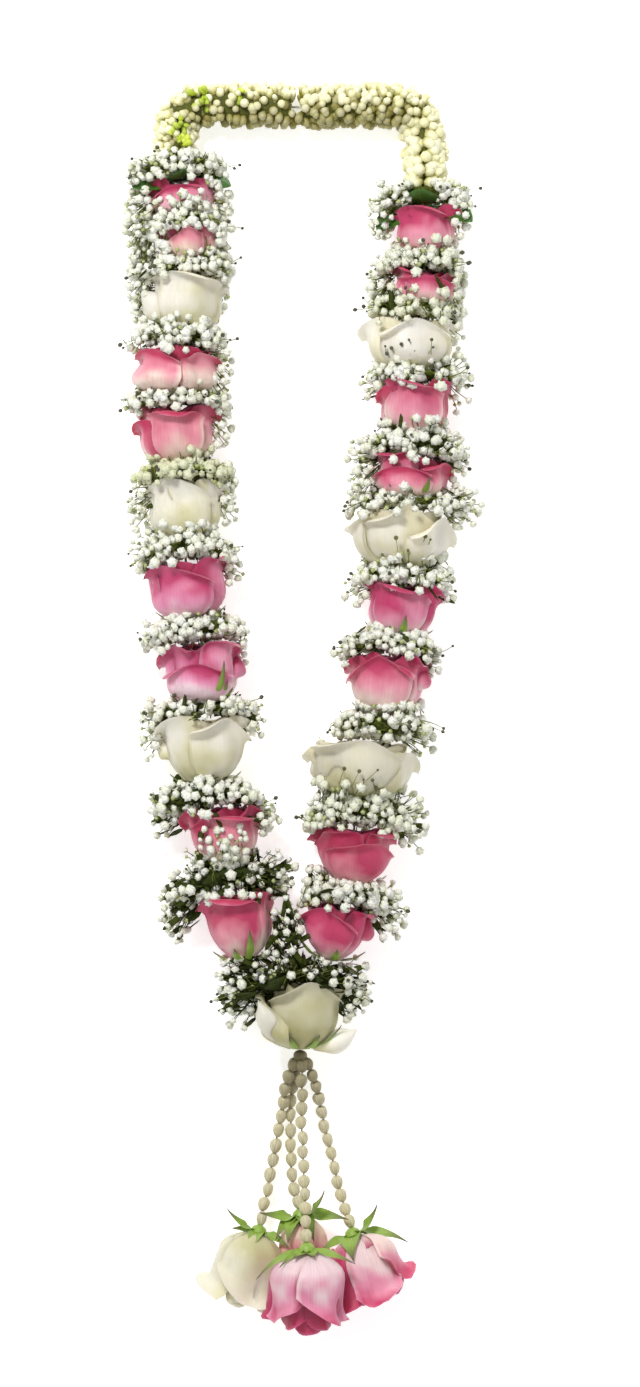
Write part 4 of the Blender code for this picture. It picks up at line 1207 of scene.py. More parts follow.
def draped(place, above, look, settings, rng):
    """Florets that hang over the rim of the rose below, or lie round the foot of the one above, each lot as
    places, directions that they face and the feet of their stems."""
    count, top = look["front"], place["height"]
    front = rng.uniform(0, math.tau, count)
    lift = settings.floret_radius * rng.uniform(0.6, 1.6, count)
    spots, outward = on_petals(place, front, top - look["drop"] * MM, top, lift, rng)
    found = [(spots, outward, spots + place["axis"] * STEM_BACK + jitter(rng, 2.5, spots))]
    for rose in above:
        count = look["foot"]
        lift = rng.uniform(1.0, 6.0, count) * MM
        around = rng.uniform(0, math.tau, count)
        spots, outward = on_petals(rose, around, -1 * MM, look["rise"] * MM, lift, rng)
        drop = rng.uniform(3, 9, (count, 1)) * MM
        found.append((spots, outward, spots - rose["axis"] * drop + jitter(rng, 2.5, spots)))
        heap = np.radians(rng.uniform(56, 122, look["heap"]))
        found.append(heaped(rose, heap, 0.0, 17 * MM, -1, rng))
    side = np.radians(rng.uniform(8, 52, look["sides"]))
    side = np.where(rng.uniform(size=len(side)) < 0.5, side, math.pi - side)
    found.append(heaped(place, side, 0.1 * top, 1.0 * top, 1, rng))
    return found


def tuft(row, centre, roses, rng):
    """Florets all through an oval clump with its own place and size, clear of the roses, on stems."""
    *middle_and_half, count = row
    middle, half = np.array(middle_and_half[:3]) * MM, np.array(middle_and_half[3:]) * MM
    tries = rng.normal(scale=0.55, size=(count * 4, 3))
    tries = tries / np.maximum(np.linalg.norm(tries, axis=1, keepdims=True) / 1.25, 1)
    spots = middle + half * tries
    keep = spots[:, 2] > 2 * MM
    for rose in roses:
        keep &= clear_of(rose, spots, TUFT_CLEAR)
    spots, outward = spots[keep], tries[keep]
    pick = spread_out(spots, min(count, len(spots)), rng)
    spots, outward = spots[pick], unit(unit(outward[pick]) + 0.3 * UP)
    feet = middle + 0.3 * (centre - middle) + 0.35 * (spots - middle)
    return spots, outward, feet


def spray_ring(ring_name, place, above, settings, rng):
    """One ring of baby's breath: florets on stems over and about its solid, greens inside, stray buds."""
    name = f"babys_breath_{ring_name}"
    look = {**PLAIN_RING, **SPRAY_LOOKS.get(ring_name, {})}
    points = solid_points(name)
    centre = out_of(place, np.array((0, 0, into(place, points)[:, 2].mean())))
    roses = [place, *above]
    tries, ring = ring_florets(name, place, centre, roses, look, settings, rng)
    found = [ring, *draped(place, above, look, settings, rng)]
    hung = len(found)
    found += [tuft(row, centre, roses, rng) for row in TUFTS.get(ring_name, ())]
    hanging = np.concatenate([np.full(len(part[0]), i >= hung) for i, part in enumerate(found)])
    spots, outward, feet = (np.concatenate(part) for part in zip(*found))
    count = len(spots)
    outward = unit(outward + rng.normal(scale=0.25, size=spots.shape))
    chance = rng.uniform(size=count)
    radius = settings.floret_radius * np.where(chance > BUD_SHARE, 0.55, rng.uniform(0.72, 1.42, count))
    radius = radius * np.where(hanging, 0.82, 1.0)
    spots[:, 2] = np.maximum(spots[:, 2], radius)
    tone = tones(count, chance=chance, depth=np.where(hanging, 0.1, look["green"]))
    florets = scatter(floret_form(), spots, turned_to(outward, rng), radius, tone)
    # Painted shade on the floret stems, by the ring's "dark" share
    tone = tones(count, chance=rng.uniform(size=count) * 0.6, depth=look["dark"])
    knee = 0.5 * (feet + spots) + jitter(rng, 1.5, spots)
    paths = curved_paths(feet, knee, spots - outward * radius[:, None] * 0.6, 3)
    stalks = stems(paths, stem_radii(settings, count, np.linspace(1.3, 0.8, 3)), tone, 1)
    core = ring_core(place, points, look["core"], look["dark"], rng, 1)
    greens = inner_greens(tries, spots, centre, settings, rng, look)
    strays = stray_sprays(tries, centre, settings, rng, look)
    return [florets, core, stalks, *greens, *strays, *risers(above, settings, rng, look)]


def stem_radii(settings, count, shares):
    """The radii of so many stems at each of their points, given as shares of the usual one."""
    return np.array(shares) * settings.stem_radius * np.ones((count, 1))


def risers(above, settings, rng, look):
    """Single stalks that stand up in front of the rose above, each with a small bud."""
    made = []
    for rose in above if look["risers"] else ():
        count = look["risers"]
        turn = np.radians(rng.uniform(50, 130, count))
        tall = rng.uniform(10, 24, count) * MM
        paths = []
        for share_up in (0.0, 0.5, 1.0):
            lean = turn + share_up * rng.normal(scale=0.12, size=count)
            up = tall * share_up + 1 * MM
            wide = rose["radius"] * cup_share(up / rose["height"]) + (2.0 + 2.5 * share_up) * MM
            paths.append(round_axis(rose, wide, lean, up))
        tone = tones(count, chance=rng.uniform(0.3, 1.0, count))
        made.append(stems(np.stack(paths, axis=1), stem_radii(settings, count, (1.0, 0.8, 0.7)), tone, 1))
        radius = rng.uniform(0.9, 1.9, count) * MM
        beads = scatter(bead_form(), paths[-1], turned_to(unit(paths[-1] - paths[0]), rng), radius, tone, 1)
        beads["tone"][:, INSIDE] = rng.uniform(0.2, 1.0)
        made.append(beads)
    return made


def inner_greens(tries, spots, centre, settings, rng, look):
    """Short stalks that bristle between the florets, and narrow dark leaves."""
    count = look["stalks"]
    out = tries[rng.integers(len(tries), size=count)] - centre
    starts = centre + out * rng.uniform(0.4, 0.75, (count, 1))
    ends = starts + unit(starts - centre + jitter(rng, 6, starts)) * 9 * MM
    # Painted shade on the stalks, by the ring's "dark" share
    tone = tones(count, chance=rng.uniform(size=count), depth=look["dark"] * rng.uniform(0.3, 1.0, count))
    stalks = stems(np.stack((starts, ends), axis=1), stem_radii(settings, count, (1.6, 1.0)), tone, 1)
    count = look["leaves"]
    near = spots[rng.integers(len(spots), size=count)]
    along = unit(near - centre + jitter(rng, 14, near))
    leaf = np.stack((rng.uniform(1.6, 3.2, count), np.full(count, 0.35), rng.uniform(5, 11, count)), axis=1)
    feet = near - along * rng.uniform(4, 9, (count, 1)) * MM
    leaves = scatter(bead_form(), feet, turned_to(along, rng), leaf * MM, tones(count, depth=0.85), 1)
    return stalks, leaves


def stray_sprays(tries, centre, settings, rng, look):
    """Thin forked stems that stand out of a ring, each fork with a small dark bud."""
    count, fork_count = look["strays"], 2
    spots = tries[spread_out(tries, count, rng)]
    away = unit(unit(spots - centre) + rng.normal(scale=0.45, size=spots.shape))
    spots = np.repeat(spots, fork_count, axis=0)
    away = np.repeat(away, fork_count, axis=0)
    count = len(spots)
    length = rng.uniform(0.25, 1.0, (count, 1)) * settings.stray_length
    tips = spots + away * length + jitter(rng, 3.0, spots)
    radius = rng.uniform(0.8, 1.9, count) * MM
    tips[:, 2] = np.maximum(tips[:, 2], radius)
    bend = spots + jitter(rng, 2.0, spots)
    paths = curved_paths(spots - away * 7 * MM, bend, tips, 5)
    paths[..., 2] = np.maximum(paths[..., 2], settings.stem_radius)
    # Painted shade on the stray stems and buds, a third of the ring's
    tone = tones(count, chance=rng.uniform(size=count), depth=0.3 * look["dark"])
    beads = scatter(bead_form(), tips, turned_to(away, rng), radius, tone, 1)
    beads["tone"][:, INSIDE] = 1.0
    return [stems(paths, stem_radii(settings, count, np.linspace(1.1, 0.65, 5)), tone, 1), beads]


# What sets a ring of baby's breath apart: its share of the florets; "front" florets that hang over the rim
# of the rose below, "drop" millimetres at most; "foot" ones round the foot of the rose above, "rise"
# millimetres up at most; those heaped in front of that rose, and those down both sides of the one below;
# "risers", single stalks that stand up in front; its stray stems, short stalks and narrow leaves; "dark",
# how much painted shade its greens take; how green its florets are; half its gap towards the sky in
# degrees; and the share of its reach that its core has
PLAIN_RING = {
    "share": 1.0, "front": 14, "drop": 5, "foot": 50, "rise": 11, "heap": 0, "sides": 0, "risers": 0,
    "strays": 9, "stalks": 130, "leaves": 10, "dark": 0.3, "green": 0.1, "parting": 0, "core": 0.62,
}
SPRAY_LOOKS = {
    "left_01": {"front": 7, "drop": 4, "sides": 14, "dark": 0.1},
    "left_02": {
        "share": 0.75, "foot": 12, "rise": 6, "heap": 17, "sides": 30, "front": 2, "drop": 3, "dark": 0.1,
    },
    "left_03": {"foot": 40, "rise": 9, "leaves": 16, "dark": 0.25},
    "left_04": {"foot": 56, "rise": 11, "leaves": 16},
    "left_05": {"foot": 60, "rise": 13},
    "left_06": {"green": 0.85, "share": 0.9, "leaves": 20},
    "left_07": {"foot": 62, "rise": 12},
    "left_08": {"foot": 30, "rise": 7},
    "left_09": {"foot": 22, "rise": 5, "leaves": 60, "front": 8, "dark": 0.7, "share": 0.85},
    "left_10": {"foot": 26, "rise": 6, "dark": 0.75, "leaves": 60, "share": 0.85},
    "left_11": {
        "dark": 1, "share": 0.62, "foot": 40, "rise": 9, "leaves": 130, "strays": 18, "stalks": 240,
    },
    "right_01": {"front": 0, "dark": 0.1, "parting": 30, "stalks": 40, "core": 0.4},
    "right_02": {"green": 0.3, "front": 6, "foot": 60, "sides": 10, "dark": 0.25},
    "right_03": {"green": 0.45, "front": 10, "foot": 60, "dark": 0.3},
    "right_04": {"foot": 44, "rise": 9, "risers": 9, "dark": 0.1},
    "right_05": {"leaves": 24, "dark": 0.6, "foot": 56, "rise": 12},
    "right_06": {"strays": 22, "foot": 40},
    "right_07": {"foot": 60, "rise": 13, "risers": 5},
    "right_08": {"foot": 34, "rise": 8, "leaves": 20},
    "right_09": {"front": 2, "foot": 60, "rise": 12},
    "right_10": {"dark": 0.6, "foot": 76, "rise": 14, "leaves": 24, "risers": 6, "green": 0.3},
    "right_11": {"dark": 0.75, "foot": 14, "rise": 3, "leaves": 50, "strays": 12, "share": 0.9},
    "tip": {
        "dark": 1, "share": 0.3, "front": 0, "foot": 3, "rise": 2, "leaves": 300, "strays": 30,
        "stalks": 320,
    },
}
# Clumps that hang out of a ring: middle and half size in x, y and height, all in millimetres, and florets
TUFTS = {
    "left_01": (
        (-113, 338, 24, 8, 36, 16, 120), (-58, 338, 24, 8, 34, 16, 106), (-84, 343, 47, 20, 9, 5, 34),
    ),
    "left_02": ((-113, 300, 22, 7, 20, 14, 52), (-57, 303, 24, 7, 22, 15, 56)),
    "left_03": ((-110, 281, 18, 7, 13, 12, 20),),
    "left_04": ((-54, 233, 26, 6, 16, 14, 28),),
    "left_05": ((-55, 200, 26, 6, 17, 14, 28), (-115, 213, 24, 7, 6, 10, 10)),
    "left_06": ((-112, 140, 22, 7, 15, 14, 28), (-50, 147, 26, 6, 17, 14, 30)),
    "left_07": ((-108, 106, 24, 9, 12, 12, 24), (-48, 97, 26, 7, 11, 12, 18)),
    "left_08": ((-104, 48, 24, 7, 10, 12, 16), (-44, 42, 26, 7, 13, 12, 20)),
    "left_09": ((-105, -18, 22, 7, 17, 14, 32), (-35, -10, 28, 9, 12, 12, 28)),
    "left_10": (
        (-95, -76, 24, 9, 15, 14, 34), (-27, -80, 30, 10, 11, 12, 28), (-53, -95, 54, 14, 11, 4, 28),
    ),
    "left_11": (
        (-87, -142, 24, 10, 20, 16, 60), (-17, -118, 32, 12, 14, 14, 34), (-70, -108, 40, 12, 8, 8, 18),
    ),
    "right_01": ((58, 346, 26, 8, 16, 14, 46), (110, 344, 26, 8, 15, 14, 46)),
    "right_02": ((54, 292, 24, 6, 18, 14, 52), (108, 297, 24, 6, 17, 14, 42)),
    "right_03": ((110, 268, 24, 5, 12, 12, 14),),
    "right_04": ((112, 228, 24, 7, 19, 14, 24), (50, 226, 22, 6, 12, 12, 14)),
    "right_05": ((43, 164, 26, 9, 23, 15, 48), (109, 175, 26, 8, 14, 13, 24)),
    "right_06": ((113, 139, 28, 12, 12, 12, 44),),
    "right_07": ((41, 83, 26, 10, 12, 13, 24), (98, 82, 26, 9, 12, 13, 24)),
    "right_08": ((35, 36, 26, 9, 9, 12, 22), (90, 31, 26, 8, 9, 12, 20)),
    "right_09": ((85, -24, 26, 8, 10, 12, 20),),
    "right_10": ((15, -79, 26, 8, 14, 14, 28), (79, -83, 26, 9, 17, 14, 36)),
    "right_11": ((61, -144, 24, 11, 18, 14, 44), (12, -126, 32, 8, 11, 12, 24)),
    "tip": (
        (-10, -156, 40, 9, 18, 12, 34), (-42, -196, 25, 14, 25, 16, 62), (34, -198, 26, 13, 18, 15, 50),
        (-22, -184, 38, 10, 9, 9, 9), (18, -184, 38, 10, 8, 8, 9),
    ),
}


# Jasmine

# The thread's line through each half of the neck rope, and the lines of the tassel's strings: x, y and
# height in millimetres
NECK_LINES = {
    "left": ((-4.5, 420, 14.5), (-72, 420, 14.5), (-87, 405, 14.5), (-86, 383, 19)),
    "right": ((-0.5, 420, 14.5), (69, 420, 14.5), (85, 404, 14.5), (87, 364, 19)),
}
TASSEL_LINES = {
    "left": ((-2, -248, 27), (-8, -258, 22), (-12, -280, 10), (-17, -308, 4.4), (-22, -335, 6.5)),
    "right": ((2, -248, 27), (8.5, -258, 22), (14, -282, 10), (21, -312, 4.4), (28, -342, 7)),
    "back": ((-1, -248, 24), (-4, -260, 15), (-6, -280, 5), (-6.5, -305, 4.4), (-6, -330, 6)),
    "front": ((1, -248, 29), (1.5, -262, 30), (1, -286, 32), (2, -314, 37), (3.5, -345, 46)),
}
# Where the rope's calyxes show bright green: x, y, how far about, and how many
BRIGHT_SPOTS = ((-67, 427, 4, 9), (-84, 406, 4, 8), (-81, 394, 4, 10), (-79, 385, 3, 5), (-42, 428, 4, 3))
# The middle of the loop that the rope makes, from which its outer side is told, and where its top run is
LOOP_MIDDLE = (0, 340, 14.5)
TOP_RUN = 420 * MM
# Points that a line is worked out at, from one row of the rope's buds to the next, buds round it, its layers
LINE_POINTS, ROW_PITCH, BUDS_ROUND, LAYERS = 400, 6.0 * MM, 15, 3
# From a tassel rose's base to the end of its calyx, where its string ends
CALYX_TOP = 5.85 * MM


def smooth_run(corners):
    """Points evenly spaced along a smooth curve through the corners, and its length.

    The curve is the cubic spline whose slope at a corner is half the way between the corners beside it."""
    corners = np.asarray(corners, float)
    ends = np.concatenate(([2 * corners[0] - corners[1]], corners, [2 * corners[-1] - corners[-2]]))
    t = np.linspace(0, 1, 24, endpoint=False)[:, None, None]
    a, b, c, d = ends[:-3], ends[1:-2], ends[2:-1], ends[3:]
    fine = 0.5 * (2 * b + (c - a) * t + (2 * a - 5 * b + 4 * c - d) * t**2 + (3 * b - a - 3 * c + d) * t**3)
    fine = np.concatenate((fine.transpose(1, 0, 2).reshape(-1, 3), corners[-1:]))
    length = np.concatenate(([0], np.cumsum(np.linalg.norm(np.diff(fine, axis=0), axis=1))))
    want = np.linspace(0, length[-1], LINE_POINTS)
    return np.stack([np.interp(want, length, fine[:, k]) for k in range(3)], axis=-1), length[-1]


def tube(path, radius, sides, tone, finish=0):
    """A closed tube of so many sides along a path, with flat ends."""
    along = unit(np.gradient(path, axis=0))
    side = unit(np.cross(UP, along))
    up = np.cross(along, side)
    angle = np.arange(sides) * math.tau / sides
    ring = side[:, None] * np.cos(angle)[:, None] + up[:, None] * np.sin(angle)[:, None]
    co = (path[:, None] + ring * radius).reshape(-1, 3)
    co = np.concatenate((co, path[:1], path[-1:]))
    tris = end_fans(len(path), sides, len(co) - 2, len(co) - 1)
    quads = grid_quads(len(path), sides, closed=True)
    return patch(co, quads, tris, None, np.repeat(tone[None], len(co), axis=0), finish)


def neck_bud_form():
    """A plump jasmine bud seen from its tip, one unit long and one unit in radius, foot at the origin."""
    return round_form(8, [(0.0, 0.0), (0.34, 0.06), (0.72, 0.34), (1.0, 0.68), (0.72, 0.93), (0.0, 1.0)])


def neck_rope(side, settings, rng):
    """Half of the neck rope: a full outer layer of buds, a sparser one below it and a fringe of narrow pale
    buds on the loop's outer side, over a core whose dark olive is painted shade.

    The buds stand out of the thread's line in rows, half a bud apart from one row to the next. On the right
    leg those that would face the sky lie to either side of a parting, like shingles: a bud at angle a from
    the sky there points to 0.46 + 0.55 a, with its tip at the same distance from the line as the others'.
    Buds on the loop's inner side and in the lower layer are painted darker olive as painted shade, and some
    are missing in the left half's top run."""
    line, length = smooth_run(np.array(NECK_LINES[side]) * MM)
    along_all = unit(np.gradient(line, axis=0))
    rows = round(length / ROW_PITCH)
    row, turn, layer = np.indices((rows, BUDS_ROUND, LAYERS))
    share_along = (row + 0.5 + 0.35 * layer + rng.uniform(-0.4, 0.4, row.shape)) / rows
    angle = (turn + 0.5 * ((row + layer) % 2) + rng.uniform(-0.35, 0.35, row.shape)) * math.tau / BUDS_ROUND
    at = np.clip((share_along * (LINE_POINTS - 1)).astype(int), 0, LINE_POINTS - 1).ravel()
    layer = layer.ravel()
    count = len(at)
    from_sky = (angle.ravel() + math.pi) % math.tau - math.pi
    on_leg = ease((TOP_RUN - line[at, 1]) / (26 * MM))
    parted = on_leg * (side == "right")
    across = np.abs(from_sky)
    turned = across + parted * (np.maximum(across, 0.46 + 0.55 * across) - across)
    axis = along_all[at]
    sideways = unit(np.cross(UP, axis))
    up = np.cross(axis, sideways)
    radial = sideways * np.sin(from_sky)[:, None] + up * np.cos(from_sky)[:, None]
    pointing = turned * np.where(from_sky < 0, -1, 1)
    outward = sideways * np.sin(pointing)[:, None] + up * np.cos(pointing)[:, None]
    to_outer = unit((line[at] - np.array(LOOP_MIDDLE) * MM) * (1, 1, 0))
    outer = (radial * to_outer).sum(axis=1)
    spots = np.array(BRIGHT_SPOTS, float)
    tips = line[at] + radial * settings.rope_radius
    away = np.linalg.norm(tips[:, None, :2] - spots[:, :2] * MM, axis=2)
    corner = np.exp(-((away / (6 * MM)) ** 2)).max(axis=1) * (radial[:, 2] > 0) * (side == "left")
    bright = rng.uniform(size=count) < 0.4 * corner
    sway = axis * rng.normal(scale=0.22, size=(count, 1)) + rng.normal(scale=0.12, size=outward.shape)
    sway = sway + bright[:, None] * rng.normal(scale=0.8, size=outward.shape)
    fringe = layer == 2
    bud = settings.neck_bud_length * rng.uniform(0.85, 1.15, count) * (1 + 0.22 * parted)
    tip_at = settings.rope_radius * rng.uniform(0.88, 1.04, count)
    tip_at = tip_at - (layer == 1) * rng.uniform(2.0, 5.0, count) * MM
    tip_at = tip_at + fringe * rng.uniform(0, 1.5, count) * MM
    foot = line[at] + radial * (tip_at - bud * np.cos(turned - across))[:, None]
    outward = unit(outward + sway + 0.25 * parted[:, None] * axis)
    wide = settings.neck_bud_radius * rng.uniform(0.78, 1.08, count) * np.where(fringe, 0.62, 1.0)
    wide = wide * (1 + 0.38 * parted)
    thin = ease((line[at, 0] + 82 * MM) / (10 * MM)) * (side == "left") * (1 - on_leg)
    missing = np.maximum(thin * np.where(layer == 1, 0.75, 0.42), 0.55 * corner) * (outer < 0.7)
    keep = rng.uniform(size=count) > missing
    keep &= ~fringe | (outer > 0.45)
    keep &= rng.uniform(size=count) > 0.15 * parted * (radial[:, 2] > 0)
    # Painted shade: buds on the loop's inner side and in the lower layer are painted darker olive
    inner_side = np.clip((0.35 - outer) / 0.95, 0, 1) * (1 - on_leg)
    painted_shade = np.clip(0.75 * inner_side**1.3 + 0.6 * (layer == 1) * (1 - 0.8 * parted), 0, 0.9)
    tone = tones(count, inside=painted_shade * ~bright, chance=rng.uniform(size=count), depth=bright)
    form_size = np.stack((wide, wide, bud), axis=1)
    buds = scatter(neck_bud_form(), foot[keep], turned_to(outward[keep], rng), form_size[keep], tone[keep])
    # The core of stalks, whose dark olive is painted shade between the buds
    core = tube(line[8:-8:12], settings.rope_radius * 0.62, 12, np.zeros(4), 1)
    made = [buds, core]
    if side == "left":
        made.append(bright_calyxes(line, settings, rng))
    return made


def bright_calyxes(line, settings, rng):
    """Green calyxes between the buds at the rope's left corner, their tips every way."""
    spots = np.array(BRIGHT_SPOTS, float)
    spots = np.repeat(spots, spots[:, 3].astype(int), axis=0)
    flat = (spots[:, :2] + rng.normal(size=(len(spots), 2)) * spots[:, 2:3] * 0.6) * MM
    at = np.linalg.norm(flat[:, None] - line[:, :2], axis=2).argmin(axis=1)
    off = flat - line[at, :2]
    reach = settings.rope_radius * rng.uniform(0.74, 0.90, len(at))
    short = np.minimum(1, 0.95 * reach / np.maximum(np.linalg.norm(off, axis=1), 1e-6))
    off = off * short[:, None]
    rise = np.sqrt(np.maximum(reach**2 - (off**2).sum(axis=1), 0))
    foot = np.concatenate((line[at, :2] + off, (line[at, 2] + rise)[:, None]), axis=1)
    directions = unit(rng.normal(size=foot.shape) * (1, 1, 0.2) + (0, 0, 0.35))
    tone = tones(len(at), chance=rng.uniform(size=len(at)), depth=1.0)
    length = rng.uniform(4.5, 8.5, len(at)) * MM
    form_size = np.stack((0.36 * length, 0.26 * length, length), axis=1)
    return scatter(neck_bud_form(), foot, turned_to(directions, rng), form_size, tone)


def tassel_bud_form():
    """A jasmine bud on the string, one unit long and one unit in radius: an egg with five soft seams."""
    profile = [
        (0.0, 0.0), (0.40, 0.03), (0.72, 0.12), (0.93, 0.24), (1.0, 0.38), (0.98, 0.54), (0.86, 0.70),
        (0.66, 0.84), (0.40, 0.95), (0.0, 1.0),
    ]
    co, quads, tris, along, turn = round_form(15, profile)
    co[:, :2] *= (1 + 0.035 * np.cos(5 * (turn + 0.9 * along)))[:, None]
    return co, quads, tris, along, turn


def tassel_strings(settings, rng):
    """The knot bud and the four strings of buds, threaded end to end down to the calyxes."""
    form = tassel_bud_form()
    made = []
    for name in HANGING:
        side = name.split("_")[2]
        place = BLOOMS[name]
        end = place["base"] - place["axis"] * CALYX_TOP
        line, length = smooth_run(np.concatenate((np.array(TASSEL_LINES[side]) * MM, [end])))
        count = round(length / settings.tassel_bud_pitch)
        share_along = (np.arange(count) + 0.02) / count
        last = LINE_POINTS - 1
        at = (share_along * last).astype(int)
        run = line[np.clip(at + int(last / count), 0, last)] - line[at]
        directions = unit(run + jitter(rng, 0.5, run))
        wide = settings.tassel_bud_radius * rng.uniform(0.9, 1.08, count)
        long = np.linalg.norm(run, axis=1) * rng.uniform(0.98, 1.04, count)
        tone = tones(count, chance=rng.uniform(size=count), depth=np.clip(0.85 - 2.6 * share_along, 0, 1))
        places = line[at] + jitter(rng, 0.25, run)
        form_size = np.stack((wide, wide, long), axis=1)
        made.append(scatter(form, places, turned_to(directions, rng), form_size, tone))
        made.append(tube(line[4:-4:20], 0.6 * MM, 6, tones(1, 0.5, 0.0, 0.5, 0.9)[0]))
    knot = np.array(((0.0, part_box(TIP)[0][1] - 0.6 * MM, 26.5 * MM),))
    turns = turned_to(TO_TASSEL[None], rng)
    made.append(scatter(form, knot, turns, np.array(((4.9, 4.9, 9.5),)) * MM, tones(1, 0.5, 0.0, 0.5, 0.95)))
    for piece in made:
        piece["co"][:, 2] = np.maximum(piece["co"][:, 2], 0.0)
    return made


# Sepals and leaves

# For each tassel rose, its sepals: angle about the rose in degrees (0 faces the right, 90 the sky), length
# in millimetres, how far the tip swings up the string (minus) or down the petals (plus) in degrees, half the
# width in millimetres, and how far the blade is twisted to face the sky in degrees
SEPALS = {
    "left": ((150, 29, -30, 3.6, -60), (99, 29, 56, 5.2, 0), (26, 24, 20, 4.2, 60), (176, 16, 10, 3.6, -60),
             (215, 18, 10, 4, 0), (300, 18, 10, 4, 0)),
    "right": ((32, 29, -42, 5.2, 55), (8, 38, 38, 4.6, 62), (100, 32, 50, 8.6, 0), (165, 27, 16, 4.2, -60),
              (250, 18, 10, 4, 0)),
    "back": ((150, 30, -18, 5.4, -60), (48, 32, -46, 5.2, 50), (14, 32, 16, 5.6, 60), (118, 28, 54, 6.6, 0),
             (72, 28, 54, 6.6, 0), (142, 26, 44, 5.6, -30)),
    "front": ((163, 40, 40, 2.8, -50), (16, 33, 18, 3.2, 50), (72, 15, 6, 5.4, 0), (118, 17, 8, 5.6, 0),
              (140, 24, 30, 3, -30), (270, 16, 10, 4, 0)),
}
# For each strand, its leaves in the same way: 0 faces the left here, and plus swings the tip to the neck
LEAVES = {
    "left": ((172, 32, -24, 8.5, 65), (20, 32, -10, 8, -60), (90, 24, 0, 9.5, 20), (215, 26, -6, 9, 0),
             (325, 26, -6, 9, 0)),
    "right": ((82, 25, 24, 11, 0), (4, 35, -44, 10, -60), (160, 34, -30, 10.5, 50),
              (215, 26, -6, 9, 0), (325, 26, -6, 9, 0)),
}
# The hubs that sepals and leaves grow from: radius and height at each ring, in millimetres
CALYX_HUB = (
    (0, -6.4), (2, -6.2), (3.4, -5.4), (4.8, -4.3), (5.4, -2.8), (6.2, -1.2), (6.6, -0.2), (0, 0.5),
)
COLLAR_HUB = ((3, 0), (3.2, 0), (6.2, 0.4), (6.2, 2), (3.2, 2.4), (3, 2.4))


def blades(place, start, listed, outline, keel, across, along, rng):
    """Blades that leave a rose's axis sideways at a start (out and up it), as (blades, across, along, xyz).

    A blade's middle line swings by its own angle, a quarter of it at once and the rest as it goes on. Its
    width follows the outline given for each share of the way, and its sides rise with the square of the
    place across, on a direction turned about the middle line by the twist."""
    angle, length, swing, half, twist = np.array(listed, float)[:, None, None, :].transpose(3, 0, 1, 2)
    angle, length, swing, half = np.radians(angle), length * MM, np.radians(swing), half * MM
    u = np.linspace(-1, 1, across)[None, :, None]
    v = np.linspace(0, 1, along)[None, None, :]
    lean = swing * (0.25 + 1.0 * v)
    outward = start[0] + np.cumsum(np.cos(lean) * length / along, axis=2)
    onward = start[1] + np.cumsum(np.sin(lean) * length / along, axis=2)
    twist = np.radians(twist) * ease(v / 0.35)
    wide = half * outline(v)
    side = u * wide * np.cos(twist) - keel * wide * (u * u - 0.4) * np.sin(twist)
    rise = u * wide * np.sin(twist) + keel * wide * (u * u - 0.4) * np.cos(twist)
    outward = outward - rise * np.sin(lean)
    onward = onward + rise * np.cos(lean)
    x = outward * np.cos(angle) - side * np.sin(angle)
    y = outward * np.sin(angle) + side * np.cos(angle)
    sheet = out_of(place, np.stack(np.broadcast_arrays(x, y, onward), axis=-1))
    return sheet, over_sheet(u, v), tones(sheet.shape[:3], v, 0.0, rng.uniform(size=(len(listed), 1, 1)))


def hub(place, rings, sides, up):
    """A round hub on a rose's axis, so far up it."""
    form = round_form(sides, [(radius * MM, height * MM) for radius, height in rings])
    seat = out_of(place, np.array(((0, 0, up),)))
    return scatter(form, seat, place["turn"][None], np.ones(1), tones(1))


def sepal_outline(v):
    """Broadest a sixth of the way along, then narrowing to a long thin tip: a sine of a power of the way."""
    return np.sin(math.pi * np.clip(0.26 + 0.74 * v, 0, 1) ** 0.75) ** 1.25 * (1 - 0.35 * v) + 0.03


def leaf_outline(v):
    """A pointed oval, a sine of a power of the way along, with edges toothed by a finer sine."""
    return np.sin(math.pi * v**0.8) ** 0.75 * (1 + 0.06 * np.sin(v * 60)) + 0.03


def calyx(side, place, settings, rng):
    """A tassel rose's listed sepals, on a hub coloured as they are a fifth of the way along."""
    sheet, uv, tone = blades(place, (3.2 * MM, -1.6 * MM), SEPALS[side], sepal_outline, -0.45, 7, 14, rng)
    green = hub(place, CALYX_HUB, 14, 0.0)
    green["tone"][:, ALONG] = 0.2
    return [shells(sheet, settings.sepal_thickness, uv, tone), green]


def leaf_collar(side, settings, rng):
    """Dark leaves about the thread under a strand's top ring, on a small green hub."""
    place = BLOOMS[STRUNG[side][0]]
    start = (4.5 * MM, place["height"] + 3.0 * MM)
    sheet, uv, tone = blades(place, start, LEAVES[side], leaf_outline, 0.3, 15, 18, rng)
    made = shells(sheet, settings.leaf_thickness, uv, tone)
    return [made, hub(place, COLLAR_HUB, 12, place["height"] + 1.6 * MM)]


# The operators

# Where the random draws of each group of like pieces start, one apart from piece to piece
SEEDS = {
    "strung_roses": 100, "tassel_roses": 200, "babys_breath": 300, "neck_buds": 400, "tassel_buds": 500,
    "calyxes": 600, "leaf_collars": 620,
}


def draws(group, number=0):
    """The random draws of one piece of a group."""
    return np.random.default_rng(SEEDS[group] + number)


